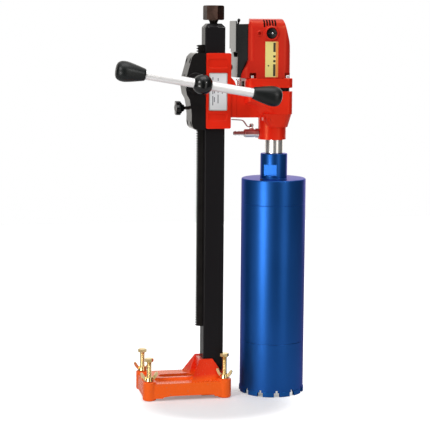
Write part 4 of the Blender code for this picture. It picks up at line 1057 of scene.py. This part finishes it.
# ---- Drill spindle ------------------------------------------------------------------
# Ground steel spindle ending in a 45 mm collar; the core bit screws onto the thread
# below it and water runs through its bore.
collar_low, collar_high, collar_radius = 0.601, 0.6355, 0.0225
body = [(0, 0.5590), (0.0120, 0.5590), (0.0120, collar_low), (collar_radius - 0.0010, collar_low),
        (collar_radius, collar_low + 0.0010), (collar_radius, collar_high - 0.0008),
        (collar_radius - 0.0008, collar_high), (0.0100, collar_high), (0.0100, 0.7280), (0, 0.7280)]
ground = metal("ground_steel", (0.92, 0.90, 0.88), 0.22, (1, 1, 30), 50, 0.005, (0.86, 0.83, 0.80),
               metallic=0.85)
spindle = solid("spindle_collar", spin(body, (bore_x, 0, 0), steps=64), ground)
machine(spindle, [extrude(ring_of(bore_x, 0, 0.004), 0.55, 0.652)])
ease(spindle, 0.0002, 2, 40)
fit(spindle, "spindle", "bright_steel", "drill_spindle")


# ---- Core bit -----------------------------------------------------------------------
# Welded steel barrel, 160 mm, in metallic blue lacquer.  The threaded hub has two wrench
# flats; a thin machined line marks each joint and a small plug closes a vent on top.
def lacquer(name, deep, lit, roughness=0.33):
    """Metallic paint: clouded flake colour, a violet glint, fine turning marks."""
    made, tree, skin = blank(name)
    skin["Metallic"].default_value = 0.70
    skin["Specular IOR Level"].default_value = 0.30
    skin["Specular Tint"].default_value = (0.50, 0.36, 0.75, 1)
    cloud = spread(tree, noise(tree, 6, 2), 0.35, 0.68)
    tree.links.new(blend(tree, cloud, deep, lit), skin["Base Color"])
    lines = noise(tree, 12, 5, (1, 1, 45))
    gloss = spread(tree, lines, low=roughness - 0.01, high=roughness + 0.02)
    tree.links.new(gloss, skin["Roughness"])
    emboss(tree, lines, 0.0015, 0.0004)
    return made


blue = lacquer("blue_lacquer", (0.009, 0.076, 0.29), (0.012, 0.088, 0.335))
barrel_radius, barrel_wall, barrel_top, crown_top = 0.080, 0.004, 0.539, 0.132
inner = barrel_radius - barrel_wall
groove_z = 0.477
profile = [(inner, crown_top + 0.0003), (barrel_radius - 0.0006, crown_top + 0.0003),
           (barrel_radius, crown_top + 0.0010), (barrel_radius, groove_z - 0.0007),
           (barrel_radius - 0.0007, groove_z - 0.0002), (barrel_radius - 0.0007, groove_z + 0.0002),
           (barrel_radius, groove_z + 0.0007), (barrel_radius, barrel_top - 0.0028),
           (barrel_radius - 0.0008, barrel_top - 0.0009), (barrel_radius - 0.0026, barrel_top),
           (0.0345, barrel_top), (0.0337, barrel_top + 0.0004), (0.0332, barrel_top + 0.0014),
           (0.0332, 0.5990), (0.0322, 0.6003), (0.0310, 0.6005), (0.0123, 0.6005), (0.0123, 0.5310),
           (inner, 0.5310)]
barrel = solid("core_barrel", spin(profile, (bore_x, 0, 0), steps=128), blue)
flats = []
flat_turns = (-121, 59)
for turn in flat_turns:
    tool = brick((0.0290, 0.05), (-0.04, 0.04), (0.547, 0.574))
    flats.append(swing(tool, (bore_x, 0, 0), math.radians(turn)))
machine(barrel, flats)
ease(barrel, 0.0003, 2, 50)
fit(barrel, "spindle", "blue_paint", "bit_barrel")
plug_x, plug_y = 0.1130, -0.046
plug = solid("vent_plug", spin([(0, 0.5380), (0.0034, 0.5380), (0.0034, 0.5408), (0.0028, 0.5414),
                                (0, 0.5414)],
                               (plug_x, plug_y, 0), steps=24), dark_steel)
machine(plug, [extrude(ring_of(plug_x, plug_y, 0.0016, 6), 0.5400, 0.5430)])
ease(plug, 0)
fit(plug, "spindle", "dark_steel")


# ---- Cutting crown ------------------------------------------------------------------
# Short steel ring brazed to the barrel, in the same lacquer.  Twelve sintered diamond
# segments stand proud of its wall, with open gullets between them.
crown_low = 0.010
profile = [(inner, crown_low), (barrel_radius - 0.0004, crown_low), (barrel_radius, crown_low + 0.0006),
           (barrel_radius, crown_top - 0.0008), (barrel_radius - 0.0006, crown_top), (inner, crown_top)]
crown_shape = spin(profile, (bore_x, 0, 0), steps=128)
crown_ring = solid("crown_ring", crown_shape, blue)
gullets = []
segment_count, span = 12, math.radians(20)
first = math.radians(-79)
for number in range(segment_count):
    turn = first + math.pi / segment_count + 2 * math.pi * number / segment_count
    notch = brick((inner - 0.004, barrel_radius + 0.004), (-0.0028, 0.0028), (-0.01, crown_low + 0.0058))
    gullets.append(swing(notch, (bore_x, 0, 0), turn))
machine(crown_ring, gullets)
ease(crown_ring, 0.0002, 2, 50)
fit(crown_ring, "spindle", "blue_paint", "cutting_crown")

matrix_metal = lacquer("coated_segment", (0.006, 0.050, 0.20), (0.010, 0.105, 0.36), 0.36)
segment_low, segment_high = inner - 0.0014, barrel_radius + 0.0014
for number in range(segment_count):
    middle = first + 2 * math.pi * number / segment_count
    arc = [middle - span / 2 + span * i / 8 for i in range(9)]
    outline = [(bore_x + segment_high * math.cos(t), segment_high * math.sin(t)) for t in arc]
    outline += [(bore_x + segment_low * math.cos(t), segment_low * math.sin(t)) for t in reversed(arc)]
    segment = solid("segment_%d" % (number + 1), extrude(outline, 0.0002, crown_low + 0.0018), matrix_metal)
    ease(segment, 0.0006, 2, 40)
    fit(segment, "spindle", "dark_steel")
